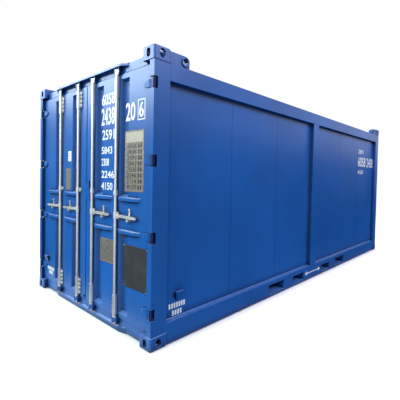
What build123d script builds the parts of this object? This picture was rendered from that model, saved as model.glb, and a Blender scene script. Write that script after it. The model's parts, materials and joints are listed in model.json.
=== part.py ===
from build123d import *
import math
import os

# Envelope over the corner castings: X across, Y along (doors at -Y), Z up
LENGTH = 6058.0
WIDTH = 2438.0
HEIGHT = 2591.0

# Corner castings
CASTING_LONG = 178.0
CASTING_WIDE = 162.0
CASTING_TALL = 118.0
CASTING_WALL = 25.0
CASTING_PLATE = 18.0
CASTING_ROUND = 16.0
CASTING_PROUD = 6.0
TWIST_SLOT_LONG = 124.0
TWIST_SLOT_WIDE = 63.5
SHACKLE_SLOT_TALL = 79.0
SHACKLE_SLOT_SIDE = 63.0
SHACKLE_SLOT_END = 51.0

# Posts, rails and sheets
POST_WALL = 10.0
POST_FLANGE = 68.0
RAIL_WIDE = 60.0
RAIL_WALL = 6.0
TOP_RAIL_TALL = 153.0
BOTTOM_RAIL_BASE = 10.0
BOTTOM_RAIL_TALL = 195.0
MID_POST_LONG = 170.0
PANEL_THICK = 5.0
PANEL_LAP = 15.0
ROOF_DROP = 33.0
ROOF_THICK = 4.0
ROOF_RIB_RISE = 18.0
ROOF_RIB_WIDE = 90.0
ROOF_RIB_PITCH = 210.0
ROOF_RIB_MARGIN = 130.0
ROOF_RIB_SLOPE = 30.0

# Door opening
DOOR_RECESS = 40.0
DOOR_THICK = 60.0
SEAL_GAP = 4.0
DOOR_SIDE_GAP = 5.0
DOOR_EDGE_GAP = 5.0
DOOR_MEET_GAP = 6.0
SILL_BASE = 12.0
SILL_TALL = 113.0
HEADER_DROP = 56.0
HEADER_TALL = 80.0
END_BEAM_RECESS = 50.0
END_BEAM_DEEP = 100.0
HEADER_LIP = 35.0

# Underside
POCKET_BASE = 45.0
POCKET_WALL = 6.0
OUTER_POCKET_Y = 1025.0
OUTER_POCKET_WIDE = 360.0
OUTER_POCKET_TALL = 115.0
INNER_POCKET_Y = 450.0
INNER_POCKET_WIDE = 305.0
INNER_POCKET_TALL = 102.0
FLOOR_THICK = 28.0
MEMBER_WIDE = 45.0
MEMBER_TALL = 120.0
MEMBER_WALL = 5.0
MEMBER_ROWS = 6
MEMBER_MARGIN = 90.0

# Lifting pad eyes on the top rails
PAD_LONG = 230.0
PAD_TALL = 106.0
PAD_THICK = 36.0
PAD_HOLE_RADIUS = 30.0
CHEEK_RADIUS = 46.0
CHEEK_THICK = 10.0

# Plates over and under the lock cams
EAVE_THICK = 20.0
EAVE_SETBACK = 3.0
EAVE_DROP = 3.0
EAVE_MARGIN = 86.0
EAVE_FLARE = 75.0
SILL_PLATE_DROP = 6.0
SILL_PLATE_TALL = 51.0
SILL_PLATE_PROUD = 22.0
SILL_PLATE_BEVEL = 9.0
SILL_PLATE_MARGIN = 48.0
SILL_PLATE_FLARE = 107.0

# Door leaf: edge frame and pressed skin
SKIN_THICK = 5.0
STILE_WIDE = 54.0
EDGE_BAR_TALL = 12.0
MID_RAIL_TALL = 60.0
GROOVE_OFFSET = 42.0
GROOVE_WIDE = 140.0
GROOVE_DEEP = 36.0
GROOVE_SLOPE = 20.0
GROOVE_EDGE = 50.0
GROOVE_ABOVE_HANDLE = 180.0
GROOVE_BELOW_HANDLE = 150.0

# Handle guards
GUARD_OFFSET = 12.0
GUARD_END_ROOM = 81.0
GUARD_PROUD = 30.0
GUARD_TALL = 30.0
GUARD_BEVEL = 58.0
GUARD_ABOVE_HANDLE = 145.0
GUARD_BELOW_HANDLE = 160.0

# Hinges
HINGE_COUNT = 4
HINGE_LOW_MARGIN = 185.0
HINGE_HIGH_MARGIN = 170.0
PIN_INSET = 24.0
PIN_DEPTH = 20.0
PIN_RADIUS = 9.0
PIN_SEAT_CLEARANCE = 0.05
PIN_RUNNING_CLEARANCE = 0.06
KNUCKLE_RADIUS = 15.0
BLADE_REACH = 155.0
BLADE_TALL = 84.0
BLADE_TIP_TALL = 34.0
BLADE_THICK = 14.0
BLADE_ROOT_THICK = 8.0
BLADE_TIP_THICK = 6.0
BLADE_STEP = 30.0
NOTCH_GAP = 8.0
NOTCH_FLOOR_GAP = 6.0
LUG_THICK = 12.0

# Lock rods, cams and keepers
ROD_INNER_X = 162.0
ROD_HINGE_ROOM = 68.0
ROD_RADIUS = 14.0
ROD_SKIN_GAP = 5.5
CAM_HUB_RADIUS = 17.0
CAM_NOSE_RADIUS = 9.0
CAM_REACH = 32.0
CAM_TALL = 48.0
CAM_EAVE_GAP = 18.0
CAM_SILL_GAP = 36.0
KEEPER_GAP = 6.0
KEEPER_THICK = 10.0
KEEPER_DEEP = 40.0
KEEPER_TALL = 54.0

# Rod brackets
BRACKET_BORE_GAP = 0.6
BRACKET_WALL = 4.5
BRACKET_LONG = 197.0
COLLAR_TALL = 12.0
COLLAR_GROWTH = 1.2
BRACKET_EDGE = 25.0
SADDLE_TALL = 50.0
SADDLE_ABOVE_HANDLE = 190.0
EAR_WIDE = 55.0
EAR_TALL = 182.0
FOOT_WIDE = 28.0

# Handles and their catches
HANDLE_Z = 1115.0
HANDLE_END_ROOM = 110.0
HANDLE_TALL = 30.0
HANDLE_TIP_TALL = 22.0
HANDLE_THICK = 15.0
HUB_RADIUS = 19.0
HUB_TALL = 64.0
HUB_LUG_END = 14.0
HUB_LUG_THICK = 11.0
PIVOT_OFFSET = 37.0
PIVOT_RADIUS = 6.0
PIVOT_HEAD_RADIUS = 10.0
PIVOT_HEAD_THICK = 2.5
PIVOT_GAP = 0.5
CATCH_FROM_TIP = 132.0
CATCH_WEB_WIDE = 22.0
CATCH_WEB_THICK = 10.0
CATCH_RISE = 66.0
CATCH_LEAN = 6.0
UPPER_LOBE_RADIUS = 13.0
UPPER_LOBE_DEEP = 14.0
SHELF_RADIUS = 15.0
SHELF_GAP = 1.0
SHELF_DEEP = 34.0

# Lock plate beside the meeting edges
LOCK_PLATE_SETBACK = 4.0
LOCK_PLATE_WIDE = 88.0
LOCK_PLATE_BASE = 115.0
LOCK_PLATE_TALL = 200.0
LOCK_PLATE_TOP_SLANT = 46.0
LOCK_PLATE_FOOT_SLANT = 28.0
LOCK_PLATE_PROUD = 24.0
LOCK_PLATE_FOOT_PROUD = 8.0

# Tag-line lugs
LUG_WIDE = 92.0
LUG_FOOT_WIDE = 56.0
LUG_PROUD = 34.0
LUG_TIP_PROUD = 9.0
LUG_TOP_PLATE = 12.0
LUG_TALL = 80.0
SIDE_LUG_INSET = 180.0
SIDE_LUG_RISE = 237.0
DOOR_LUG_INSET = 128.0
DOOR_LUG_RISE = 131.0

# Places worked out from the sizes above
HALF_X = WIDTH / 2
HALF_Y = LENGTH / 2
FRONT = -HALF_Y
FACE_X = HALF_X - CASTING_PROUD
FACE_Y = HALF_Y - CASTING_PROUD
POST_BACK = FRONT + CASTING_LONG
POST_INNER = HALF_X - CASTING_WIDE
RAIL_INNER = HALF_X - RAIL_WIDE
TOP_RAIL_TOP = HEIGHT - CASTING_TALL
TOP_RAIL_BASE = TOP_RAIL_TOP - TOP_RAIL_TALL
BOTTOM_RAIL_TOP = BOTTOM_RAIL_BASE + BOTTOM_RAIL_TALL
SKIN_Y = FRONT + DOOR_RECESS
LEAF_BACK = SKIN_Y + DOOR_THICK
STOP_Y = LEAF_BACK + SEAL_GAP
BEAM_FRONT = FRONT + END_BEAM_RECESS
BEAM_BACK = BEAM_FRONT + END_BEAM_DEEP
SILL_TOP = SILL_BASE + SILL_TALL
HEADER_TOP = HEIGHT - HEADER_DROP
HEADER_BASE = HEADER_TOP - HEADER_TALL
LEAF_OUTER = HALF_X - POST_FLANGE - DOOR_SIDE_GAP
LEAF_BASE = SILL_TOP + DOOR_EDGE_GAP
LEAF_TOP = HEADER_BASE - DOOR_EDGE_GAP
REAR_RAIL_Y = HALF_Y - RAIL_WIDE
FLOOR_BASE = POCKET_BASE + max(OUTER_POCKET_TALL, INNER_POCKET_TALL) + POCKET_WALL
FLOOR_TOP = FLOOR_BASE + FLOOR_THICK
PIN_X = HALF_X - PIN_INSET
PIN_Y = FRONT + PIN_DEPTH
NOTCH_HALF = BLADE_TALL / 2 + NOTCH_GAP
HINGE_FIRST = LEAF_BASE + HINGE_LOW_MARGIN
HINGE_PITCH = (LEAF_TOP - HINGE_HIGH_MARGIN - HINGE_FIRST) / (HINGE_COUNT - 1)
HINGE_HEIGHTS = [HINGE_FIRST + HINGE_PITCH * i for i in range(HINGE_COUNT)]
ROD_Y = SKIN_Y - ROD_SKIN_GAP - ROD_RADIUS
ROD_PITCH = (LEAF_OUTER - ROD_INNER_X - ROD_HINGE_ROOM) / 2
ROD_OUTER_X = ROD_INNER_X + ROD_PITCH
ROD_PLACES = {"inner": ROD_INNER_X, "outer": ROD_OUTER_X}
EAVE_HALF = ROD_OUTER_X + EAVE_MARGIN
EAVE_BASE = HEADER_TOP - EAVE_DROP - EAVE_THICK
SILL_PLATE_HALF = ROD_OUTER_X + SILL_PLATE_MARGIN
SILL_PLATE_BASE = SILL_BASE - SILL_PLATE_DROP
SILL_PLATE_TOP = SILL_PLATE_BASE + SILL_PLATE_TALL
CAM_TOP = EAVE_BASE - CAM_EAVE_GAP
CAM_BASE = SILL_PLATE_TOP + CAM_SILL_GAP
HANDLE_BACK = ROD_Y - PIVOT_GAP
HANDLE_FRONT = HANDLE_BACK - HANDLE_THICK
HANDLE_TIP = ROD_PITCH - HANDLE_END_ROOM
GUARD_LONG = ROD_PITCH - GUARD_OFFSET - GUARD_END_ROOM
GUARD_BASES = (HANDLE_Z - GUARD_BELOW_HANDLE, HANDLE_Z + GUARD_ABOVE_HANDLE)
POCKETS = [
    (side * place, wide, tall)
    for place, wide, tall in (
        (OUTER_POCKET_Y, OUTER_POCKET_WIDE, OUTER_POCKET_TALL),
        (INNER_POCKET_Y, INNER_POCKET_WIDE, INNER_POCKET_TALL),
    )
    for side in (-1, 1)
]


def block(x, y, z):
    """Box between pairs of limits."""
    centre = [(low + high) / 2 for low, high in (x, y, z)]
    return Pos(*centre) * Box(*[abs(high - low) for low, high in (x, y, z)])


def span(middle, length):
    """Limits of a length about its middle."""
    return middle - length / 2, middle + length / 2


def mirrored(shape):
    """The same piece on the other side of the long centre plane."""
    return mirror(shape, about=Plane.YZ)


def both_sides(shape):
    """A piece and its mirror image."""
    return [shape, mirrored(shape)]


def prism_x(points, x):
    """Outline in Y and Z, drawn out along X."""
    plane = Plane(origin=(x[0], 0, 0), x_dir=(0, 1, 0), z_dir=(1, 0, 0))
    return extrude(plane * make_face(Polyline(*points, close=True)), x[1] - x[0])


def prism_y(sketch, y):
    """Sketch in X and Z, drawn out along Y."""
    plane = Plane(origin=(0, y[1], 0), x_dir=(1, 0, 0), z_dir=(0, -1, 0))
    return extrude(plane * sketch, y[1] - y[0])


def prism_z(sketch, z):
    """Sketch in X and Y, drawn out along Z."""
    return extrude(Pos(0, 0, z[0]) * sketch, z[1] - z[0])


def outline(*points):
    """Flat face inside straight edges."""
    return make_face(Polyline(*points, close=True))


def tube(x, y, z, wall, along):
    """Rectangular hollow section, open at both ends of one axis."""
    limits = [x, y, z]
    inside = [
        pair if axis == along else (pair[0] + wall, pair[1] - wall)
        for axis, pair in zip("xyz", limits)
    ]
    return block(*limits) - block(*inside)


def save(name, *shapes):
    """Write one node's solids."""
    solids = [solid for shape in shapes for solid in shape.solids()]
    export_step(Compound(children=solids), f"parts/{name}.step")


def corner_casting(side, end, level):
    """Hollow casting with an oval hole in each outward face."""
    half = (CASTING_WIDE / 2, CASTING_LONG / 2, CASTING_TALL / 2)
    body = Box(CASTING_WIDE, CASTING_LONG, CASTING_TALL)
    rounded = [edge for edge in body.edges() if edge.center().Z > -half[2] / 2]
    body = fillet(rounded, CASTING_ROUND)
    body -= Box(
        CASTING_WIDE - 2 * CASTING_WALL,
        CASTING_LONG - 2 * CASTING_WALL,
        CASTING_TALL - 2 * CASTING_PLATE,
    )
    twist = Rot(0, 0, 90) * SlotOverall(TWIST_SLOT_LONG, TWIST_SLOT_WIDE)
    body -= Pos(0, 0, half[2] - CASTING_PLATE) * extrude(twist, CASTING_PLATE)
    side_hole = Plane.YZ * Rot(0, 0, 90) * SlotOverall(SHACKLE_SLOT_TALL, SHACKLE_SLOT_SIDE)
    body -= Pos(half[0] - CASTING_WALL, 0, 0) * extrude(side_hole, CASTING_WALL)
    end_hole = Plane.XZ * Rot(0, 0, 90) * SlotOverall(SHACKLE_SLOT_TALL, SHACKLE_SLOT_END)
    body -= Pos(0, half[1], 0) * extrude(end_hole, CASTING_WALL)
    for direction, plane in ((side, Plane.YZ), (end, Plane.XZ), (level, Plane.XY)):
        if direction < 0:
            body = mirror(body, about=plane)
    height = half[2] if level < 0 else HEIGHT - half[2]
    return Pos(side * (HALF_X - half[0]), end * (HALF_Y - half[1]), height) * body


def corner_castings(level):
    """The four castings at the bottom or at the top."""
    return [corner_casting(side, end, level) for side in (-1, 1) for end in (-1, 1)]


def door_post():
    """Hollow post with a stop for the leaf, notched for the hinges."""
    section = outline(
        (FACE_X, -FACE_Y),
        (FACE_X, POST_BACK),
        (POST_INNER, POST_BACK),
        (POST_INNER, STOP_Y),
        (HALF_X - POST_FLANGE, STOP_Y),
        (HALF_X - POST_FLANGE, -FACE_Y),
    )
    hollow = offset(section, -POST_WALL, kind=Kind.INTERSECTION)
    reach = (CASTING_TALL, TOP_RAIL_TOP)
    core = prism_z(hollow, reach)
    post = prism_z(section, reach) - core
    notch_floor = SKIN_Y + NOTCH_FLOOR_GAP
    for height in HINGE_HEIGHTS:
        lugs = block(
            (HALF_X - POST_FLANGE, HALF_X),
            (FRONT, notch_floor + POST_WALL),
            span(height, 2 * (NOTCH_HALF + LUG_THICK)),
        )
        post += lugs & core
        post -= block((LEAF_OUTER, HALF_X), (FRONT, notch_floor), span(height, 2 * NOTCH_HALF))
        hole = Cylinder(PIN_RADIUS + PIN_SEAT_CLEARANCE, 2 * (NOTCH_HALF + LUG_THICK))
        post -= Pos(PIN_X, PIN_Y, height) * hole
    return post


def hinge_pins():
    """Pins of one post, from lug to lug."""
    pin = Cylinder(PIN_RADIUS, 2 * (NOTCH_HALF + LUG_THICK))
    return [Pos(PIN_X, PIN_Y, height) * pin for height in HINGE_HEIGHTS]


def rear_post():
    """Plain hollow post at the closed end."""
    return tube(
        (POST_INNER, FACE_X), (-POST_BACK, FACE_Y), (CASTING_TALL, TOP_RAIL_TOP), POST_WALL, "z"
    )


def top_rail():
    """Hollow section along the top of one side."""
    return tube((RAIL_INNER, FACE_X), (POST_BACK, -POST_BACK), (TOP_RAIL_BASE, TOP_RAIL_TOP), RAIL_WALL, "y")


def bottom_rail():
    """Channel along the bottom of one side, its web cut for the fork pockets."""
    reach = (POST_BACK, -POST_BACK)
    rail = block((RAIL_INNER, FACE_X), reach, (BOTTOM_RAIL_BASE, BOTTOM_RAIL_TOP))
    rail -= block(
        (RAIL_INNER, FACE_X - POST_WALL),
        reach,
        (BOTTOM_RAIL_BASE + POST_WALL, BOTTOM_RAIL_TOP - POST_WALL),
    )
    for place, wide, tall in POCKETS:
        rail -= pocket_envelope(place, wide, tall)
    return rail


def pocket_envelope(place, wide, tall):
    """Outside of one fork pocket."""
    return block(
        (-FACE_X, FACE_X),
        span(place, wide + 2 * POCKET_WALL),
        (POCKET_BASE - POCKET_WALL, POCKET_BASE + tall + POCKET_WALL),
    )


def fork_pocket(place, wide, tall):
    """Tunnel from side to side for one fork."""
    inside = block((-FACE_X, FACE_X), span(place, wide), (POCKET_BASE, POCKET_BASE + tall))
    return pocket_envelope(place, wide, tall) - inside


def mid_post():
    """Flush post halfway along one side."""
    return tube(
        (RAIL_INNER, FACE_X), span(0, MID_POST_LONG), (BOTTOM_RAIL_TOP, TOP_RAIL_BASE), RAIL_WALL, "z"
    )


def side_panel():
    """Flat sheet behind the rails and posts of one side."""
    return block(
        (RAIL_INNER - PANEL_THICK, RAIL_INNER),
        (POST_BACK, -POST_BACK),
        (BOTTOM_RAIL_TOP - PANEL_LAP, TOP_RAIL_BASE + PANEL_LAP),
    )


def rear_panel():
    """Flat sheet of the closed end."""
    return block(
        (-POST_INNER, POST_INNER),
        (REAR_RAIL_Y - PANEL_THICK, REAR_RAIL_Y),
        (BOTTOM_RAIL_TOP - PANEL_LAP, TOP_RAIL_BASE + PANEL_LAP),
    )


def rear_rail(base, top):
    """Hollow section across the closed end."""
    return tube((-POST_INNER, POST_INNER), (REAR_RAIL_Y, FACE_Y), (base, top), RAIL_WALL, "x")


def door_header():
    """Hollow beam over the doors, with a lip for the seals."""
    lip_base = HEADER_BASE - HEADER_LIP
    section = [
        (BEAM_FRONT, HEADER_BASE),
        (BEAM_FRONT, HEADER_TOP),
        (BEAM_BACK, HEADER_TOP),
        (BEAM_BACK, lip_base),
        (STOP_Y, lip_base),
        (STOP_Y, HEADER_BASE),
    ]
    reach = (-POST_INNER, POST_INNER)
    hollow = block(
        reach,
        (BEAM_FRONT + RAIL_WALL, BEAM_BACK - RAIL_WALL),
        (HEADER_BASE + RAIL_WALL, HEADER_TOP - RAIL_WALL),
    )
    return prism_x(section, reach) - hollow


def door_sill():
    """Hollow beam under the doors, with an upstand for the seals."""
    section = [
        (BEAM_FRONT, SILL_BASE),
        (BEAM_FRONT, SILL_TOP),
        (STOP_Y, SILL_TOP),
        (STOP_Y, FLOOR_TOP),
        (BEAM_BACK, FLOOR_TOP),
        (BEAM_BACK, SILL_BASE),
    ]
    reach = (-POST_INNER, POST_INNER)
    hollow = block(
        reach,
        (BEAM_FRONT + RAIL_WALL, BEAM_BACK - RAIL_WALL),
        (SILL_BASE + RAIL_WALL, SILL_TOP - RAIL_WALL),
    )
    return prism_x(section, reach) - hollow


def pressing(plane, long, wide, deep, slope):
    """Tapered trough drawn from its mouth along the plane's normal."""
    return extrude(plane * Rectangle(long, wide), deep, taper=math.degrees(math.atan(slope / deep)))


def clear_of_posts(sheet, z):
    """Cut a sheet's corners round the four posts."""
    for y in ((FRONT, POST_BACK), (-POST_BACK, HALF_Y)):
        for post in both_sides(block((POST_INNER, HALF_X), y, z)):
            sheet -= post
    return sheet


def roof():
    """Sheet between the top rails, with ribs pressed up across it."""
    base = TOP_RAIL_TOP - ROOF_DROP
    ends = (BEAM_BACK, REAR_RAIL_Y)
    thickness = (base, base + ROOF_THICK)
    sheet = clear_of_posts(block((-RAIL_INNER, RAIL_INNER), ends, thickness), thickness)
    room = ends[1] - ends[0] - 2 * ROOF_RIB_MARGIN
    count = int(room // ROOF_RIB_PITCH) + 1
    rib_long = 2 * (RAIL_INNER - ROOF_RIB_MARGIN)
    first = sum(ends) / 2 - ROOF_RIB_PITCH * (count - 1) / 2
    places = [first + ROOF_RIB_PITCH * i for i in range(count)]
    grown = 2 * ROOF_THICK
    for place in places:
        crown = Plane((0, place, base + ROOF_THICK))
        sheet += pressing(crown, rib_long + grown, ROOF_RIB_WIDE + grown, ROOF_RIB_RISE, ROOF_RIB_SLOPE)
    for place in places:
        mouth = Plane((0, place, base))
        sheet -= pressing(mouth, rib_long, ROOF_RIB_WIDE, ROOF_RIB_RISE, ROOF_RIB_SLOPE)
    return sheet


def floor():
    """Boarded floor from the sill to the closed end."""
    side = RAIL_INNER - PANEL_THICK
    thickness = (FLOOR_BASE, FLOOR_TOP)
    boards = block((-side, side), (BEAM_BACK, REAR_RAIL_Y - PANEL_THICK), thickness)
    return clear_of_posts(boards, thickness)


def cross_members():
    """Channels that carry the floor, clear of the fork pockets."""
    pocket_end = OUTER_POCKET_Y + OUTER_POCKET_WIDE / 2 + POCKET_WALL
    between = (
        INNER_POCKET_Y + INNER_POCKET_WIDE / 2 + OUTER_POCKET_Y - OUTER_POCKET_WIDE / 2
    ) / 2
    first = pocket_end + MEMBER_MARGIN
    last = -BEAM_BACK - MEMBER_MARGIN
    step = (last - first) / (MEMBER_ROWS - 1)
    places = [between] + [first + step * i for i in range(MEMBER_ROWS)]
    places = [0.0] + places + [-place for place in places]
    base = FLOOR_BASE - MEMBER_TALL
    reach = (-RAIL_INNER, RAIL_INNER)
    members = []
    for place in places:
        low, high = span(place, MEMBER_WIDE)
        channel = block(reach, (low, high), (base, FLOOR_BASE))
        channel -= block(reach, (low + MEMBER_WALL, high), (base + MEMBER_WALL, FLOOR_BASE - MEMBER_WALL))
        members.append(channel)
    return members


def pad_eye():
    """Lifting eye on a top rail, against the back of its casting."""
    far = POST_BACK + PAD_LONG
    top = TOP_RAIL_TOP + PAD_TALL
    bend = PAD_TALL / 2
    edge = Polyline(
        (far, top - bend), (far, TOP_RAIL_TOP), (POST_BACK, TOP_RAIL_TOP), (POST_BACK, top), (far - bend, top)
    )
    turn = RadiusArc((far - bend, top), (far, top - bend), bend)
    middle = HALF_X - RAIL_WIDE / 2
    total = PAD_THICK + 2 * CHEEK_THICK
    across = Plane(origin=(middle - PAD_THICK / 2, 0, 0), x_dir=(0, 1, 0), z_dir=(1, 0, 0))
    plate = extrude(across * make_face([edge, turn]), PAD_THICK)
    turned = Pos(middle, far - bend, top - bend) * Rot(0, 90, 0)
    plate += turned * Cylinder(CHEEK_RADIUS, total)
    return plate - turned * Cylinder(PAD_HOLE_RADIUS, total)


def pad_eyes():
    """One eye by each top casting."""
    near = pad_eye()
    far = mirror(near, about=Plane.XZ)
    return both_sides(near) + both_sides(far)


def cam_plate(front_half, flare, front, z):
    """Trapezoid ledge on an end beam."""
    back_half = front_half + flare
    face = outline(
        (-back_half, BEAM_FRONT), (-front_half, front), (front_half, front), (back_half, BEAM_FRONT)
    )
    return prism_z(face, z)


def sill_plate():
    """Low step on the sill under the cams, its front edge bevelled."""
    front = BEAM_FRONT - SILL_PLATE_PROUD
    step = cam_plate(SILL_PLATE_HALF, SILL_PLATE_FLARE, front, (SILL_PLATE_BASE, SILL_PLATE_TOP))
    profile = [
        (BEAM_FRONT, SILL_PLATE_BASE),
        (front, SILL_PLATE_BASE),
        (front, SILL_PLATE_TOP - SILL_PLATE_BEVEL),
        (front + SILL_PLATE_BEVEL, SILL_PLATE_TOP),
        (BEAM_FRONT, SILL_PLATE_TOP),
    ]
    return step & prism_x(profile, (-HALF_X, HALF_X))


def cam_keepers(z):
    """Ears on an end beam, one each side of every cam, open in front."""
    ears = []
    for place in ROD_PLACES.values():
        outside = place + CAM_REACH + KEEPER_GAP
        inside = place - CAM_HUB_RADIUS - KEEPER_GAP
        for x in ((outside, outside + KEEPER_THICK), (inside - KEEPER_THICK, inside)):
            ears += both_sides(block(x, (BEAM_FRONT - KEEPER_DEEP, BEAM_FRONT), z))
    return ears


def door_frame():
    """Edge frame of the right leaf behind its skin, with one rail at handle height."""
    depth = (SKIN_Y + SKIN_THICK, LEAF_BACK)
    sides = (DOOR_MEET_GAP, LEAF_OUTER)
    frame = block(sides, depth, (LEAF_BASE, LEAF_TOP))
    openings = (
        (LEAF_BASE + EDGE_BAR_TALL, HANDLE_Z - MID_RAIL_TALL / 2),
        (HANDLE_Z + MID_RAIL_TALL / 2, LEAF_TOP - EDGE_BAR_TALL),
    )
    for z in openings:
        frame -= block((sides[0] + STILE_WIDE, sides[1] - STILE_WIDE), depth, z)
    return frame


def door_skin():
    """Sheet of the right leaf with grooves pressed in beside the lock rods."""
    skin = block((DOOR_MEET_GAP, LEAF_OUTER), (SKIN_Y, SKIN_Y + SKIN_THICK), (LEAF_BASE, LEAF_TOP))
    runs = (
        (LEAF_BASE + GROOVE_EDGE, HANDLE_Z - GROOVE_BELOW_HANDLE),
        (HANDLE_Z + GROOVE_ABOVE_HANDLE, LEAF_TOP - GROOVE_EDGE),
    )
    places = [
        (rod + GROOVE_OFFSET + GROOVE_WIDE / 2, (low + high) / 2, high - low)
        for rod in ROD_PLACES.values()
        for low, high in runs
    ]
    grown = 2 * SKIN_THICK
    for x, z, tall in places:
        back = Plane((x, SKIN_Y + SKIN_THICK, z), x_dir=(1, 0, 0), z_dir=(0, 1, 0))
        skin += pressing(back, GROOVE_WIDE + grown, tall + grown, GROOVE_DEEP, GROOVE_SLOPE)
    for x, z, tall in places:
        mouth = Plane((x, SKIN_Y, z), x_dir=(1, 0, 0), z_dir=(0, 1, 0))
        skin -= pressing(mouth, GROOVE_WIDE, tall, GROOVE_DEEP, GROOVE_SLOPE)
    return skin


def hinge_blade(height):
    """Forged blade of the right leaf: a knuckle on the pin and a tapered strap on the skin."""
    tip = PIN_X - BLADE_REACH
    front = SKIN_Y - BLADE_THICK
    root_front = SKIN_Y - BLADE_ROOT_THICK
    plan = outline(
        (PIN_X, SKIN_Y),
        (tip, SKIN_Y),
        (tip, SKIN_Y - BLADE_TIP_THICK),
        (tip + BLADE_STEP, front),
        (LEAF_OUTER - BLADE_STEP, front),
        (LEAF_OUTER, root_front),
        (PIN_X, root_front),
    )
    plan += Pos(PIN_X, PIN_Y) * Circle(KNUCKLE_RADIUS)
    blade = prism_z(plan, span(height, BLADE_TALL))
    half, tip_half = BLADE_TALL / 2, BLADE_TIP_TALL / 2
    side_view = outline(
        (HALF_X, height - half),
        (LEAF_OUTER, height - half),
        (tip, height - tip_half),
        (tip, height + tip_half),
        (LEAF_OUTER, height + half),
        (HALF_X, height + half),
    )
    blade &= prism_y(side_view, (FRONT, LEAF_BACK))
    bore = Cylinder(PIN_RADIUS + PIN_RUNNING_CLEARANCE, BLADE_TALL)
    return blade - Pos(PIN_X, PIN_Y, height) * bore


def handle_guard(rod, base):
    """Ledge with bevelled ends above or below a handle."""
    start = rod + GUARD_OFFSET
    end = start + GUARD_LONG
    face = outline(
        (start, SKIN_Y),
        (start + GUARD_BEVEL, SKIN_Y - GUARD_PROUD),
        (end - GUARD_BEVEL, SKIN_Y - GUARD_PROUD),
        (end, SKIN_Y),
    )
    return prism_z(face, (base, base + GUARD_TALL))


def rod_saddle(rod, z, ear_z, collar_z=None):
    """Bearing round a lock rod, with a bolting ear towards the middle of the doors and perhaps a collar."""
    outer = ROD_RADIUS + BRACKET_BORE_GAP + BRACKET_WALL
    foot = SKIN_Y - ROD_SKIN_GAP + BRACKET_BORE_GAP
    body = Pos(rod, ROD_Y) * Circle(outer)
    body += outline((rod - outer, ROD_Y), (rod + outer, ROD_Y), (rod + outer, SKIN_Y), (rod - outer, SKIN_Y))
    saddle = prism_z(body, z)
    saddle += block((rod - EAR_WIDE, rod + FOOT_WIDE), (foot, SKIN_Y), ear_z)
    if collar_z:
        ring = prism_z(Pos(rod, ROD_Y) * Circle(outer + COLLAR_GROWTH), collar_z)
        saddle += ring & block(span(rod, 4 * outer), (SKIN_Y - 4 * outer, SKIN_Y), collar_z)
    bore = prism_z(Pos(rod, ROD_Y) * Circle(ROD_RADIUS + BRACKET_BORE_GAP), z)
    return saddle - bore


def rod_brackets():
    """Long bearings at the ends of the right leaf's rods and a short one by the handles."""
    low = (LEAF_BASE + BRACKET_EDGE, LEAF_BASE + BRACKET_EDGE + BRACKET_LONG)
    high = (LEAF_TOP - BRACKET_EDGE - BRACKET_LONG, LEAF_TOP - BRACKET_EDGE)
    saddle_base = HANDLE_Z + SADDLE_ABOVE_HANDLE
    short = (saddle_base, saddle_base + SADDLE_TALL)
    brackets = []
    collars = ((low[1] - COLLAR_TALL, low[1]), (high[0], high[0] + COLLAR_TALL))
    for rod in ROD_PLACES.values():
        for z, collar in zip((low, high), collars):
            brackets.append(rod_saddle(rod, z, span(sum(z) / 2, EAR_TALL), collar))
        brackets.append(rod_saddle(rod, short, short))
    return brackets


def handle_catch(rod):
    """Forged catch: a round shelf that the handle lies on, and a lobe above it on the same web."""
    x = rod + HANDLE_TIP - CATCH_FROM_TIP
    shelf_z = HANDLE_Z - HANDLE_TALL / 2 - SHELF_GAP - SHELF_RADIUS
    lobe_x, lobe_z = x + CATCH_LEAN, HANDLE_Z + CATCH_RISE
    half = CATCH_WEB_WIDE / 2
    web = outline(
        (x - half, shelf_z), (x + half, shelf_z), (lobe_x + half, lobe_z), (lobe_x - half, lobe_z)
    )
    catch = prism_y(web, (SKIN_Y - CATCH_WEB_THICK, SKIN_Y))
    catch += prism_y(Pos(x, shelf_z) * Circle(SHELF_RADIUS), (SKIN_Y - SHELF_DEEP, SKIN_Y))
    lobe = Pos(lobe_x, lobe_z) * Circle(UPPER_LOBE_RADIUS)
    return catch + prism_y(lobe, (SKIN_Y - UPPER_LOBE_DEEP, SKIN_Y))


def lock_plate():
    """Wedge with slanted ends beside the right leaf's meeting edge."""
    x = (DOOR_MEET_GAP + LOCK_PLATE_SETBACK, DOOR_MEET_GAP + LOCK_PLATE_SETBACK + LOCK_PLATE_WIDE)
    base = HANDLE_Z + LOCK_PLATE_BASE
    top = base + LOCK_PLATE_TALL
    face = outline(
        (x[0], base + LOCK_PLATE_FOOT_SLANT),
        (x[1], base),
        (x[1], top),
        (x[0], top - LOCK_PLATE_TOP_SLANT),
    )
    profile = [
        (SKIN_Y, base),
        (SKIN_Y - LOCK_PLATE_FOOT_PROUD, base),
        (SKIN_Y - LOCK_PLATE_PROUD, top),
        (SKIN_Y, top),
    ]
    return prism_y(face, (SKIN_Y - LOCK_PLATE_PROUD, SKIN_Y)) & prism_x(profile, x)


def lock_cam(rod, z):
    """Cam head with a nose towards the hinges."""
    nose = rod + CAM_REACH - CAM_NOSE_RADIUS
    face = Pos(rod, ROD_Y) * Circle(CAM_HUB_RADIUS) + Pos(nose, ROD_Y) * Circle(CAM_NOSE_RADIUS)
    face += outline(
        (rod, ROD_Y - CAM_HUB_RADIUS),
        (nose, ROD_Y - CAM_NOSE_RADIUS),
        (nose, ROD_Y + CAM_NOSE_RADIUS),
        (rod, ROD_Y + CAM_HUB_RADIUS),
    )
    return prism_z(face, z)


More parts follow.
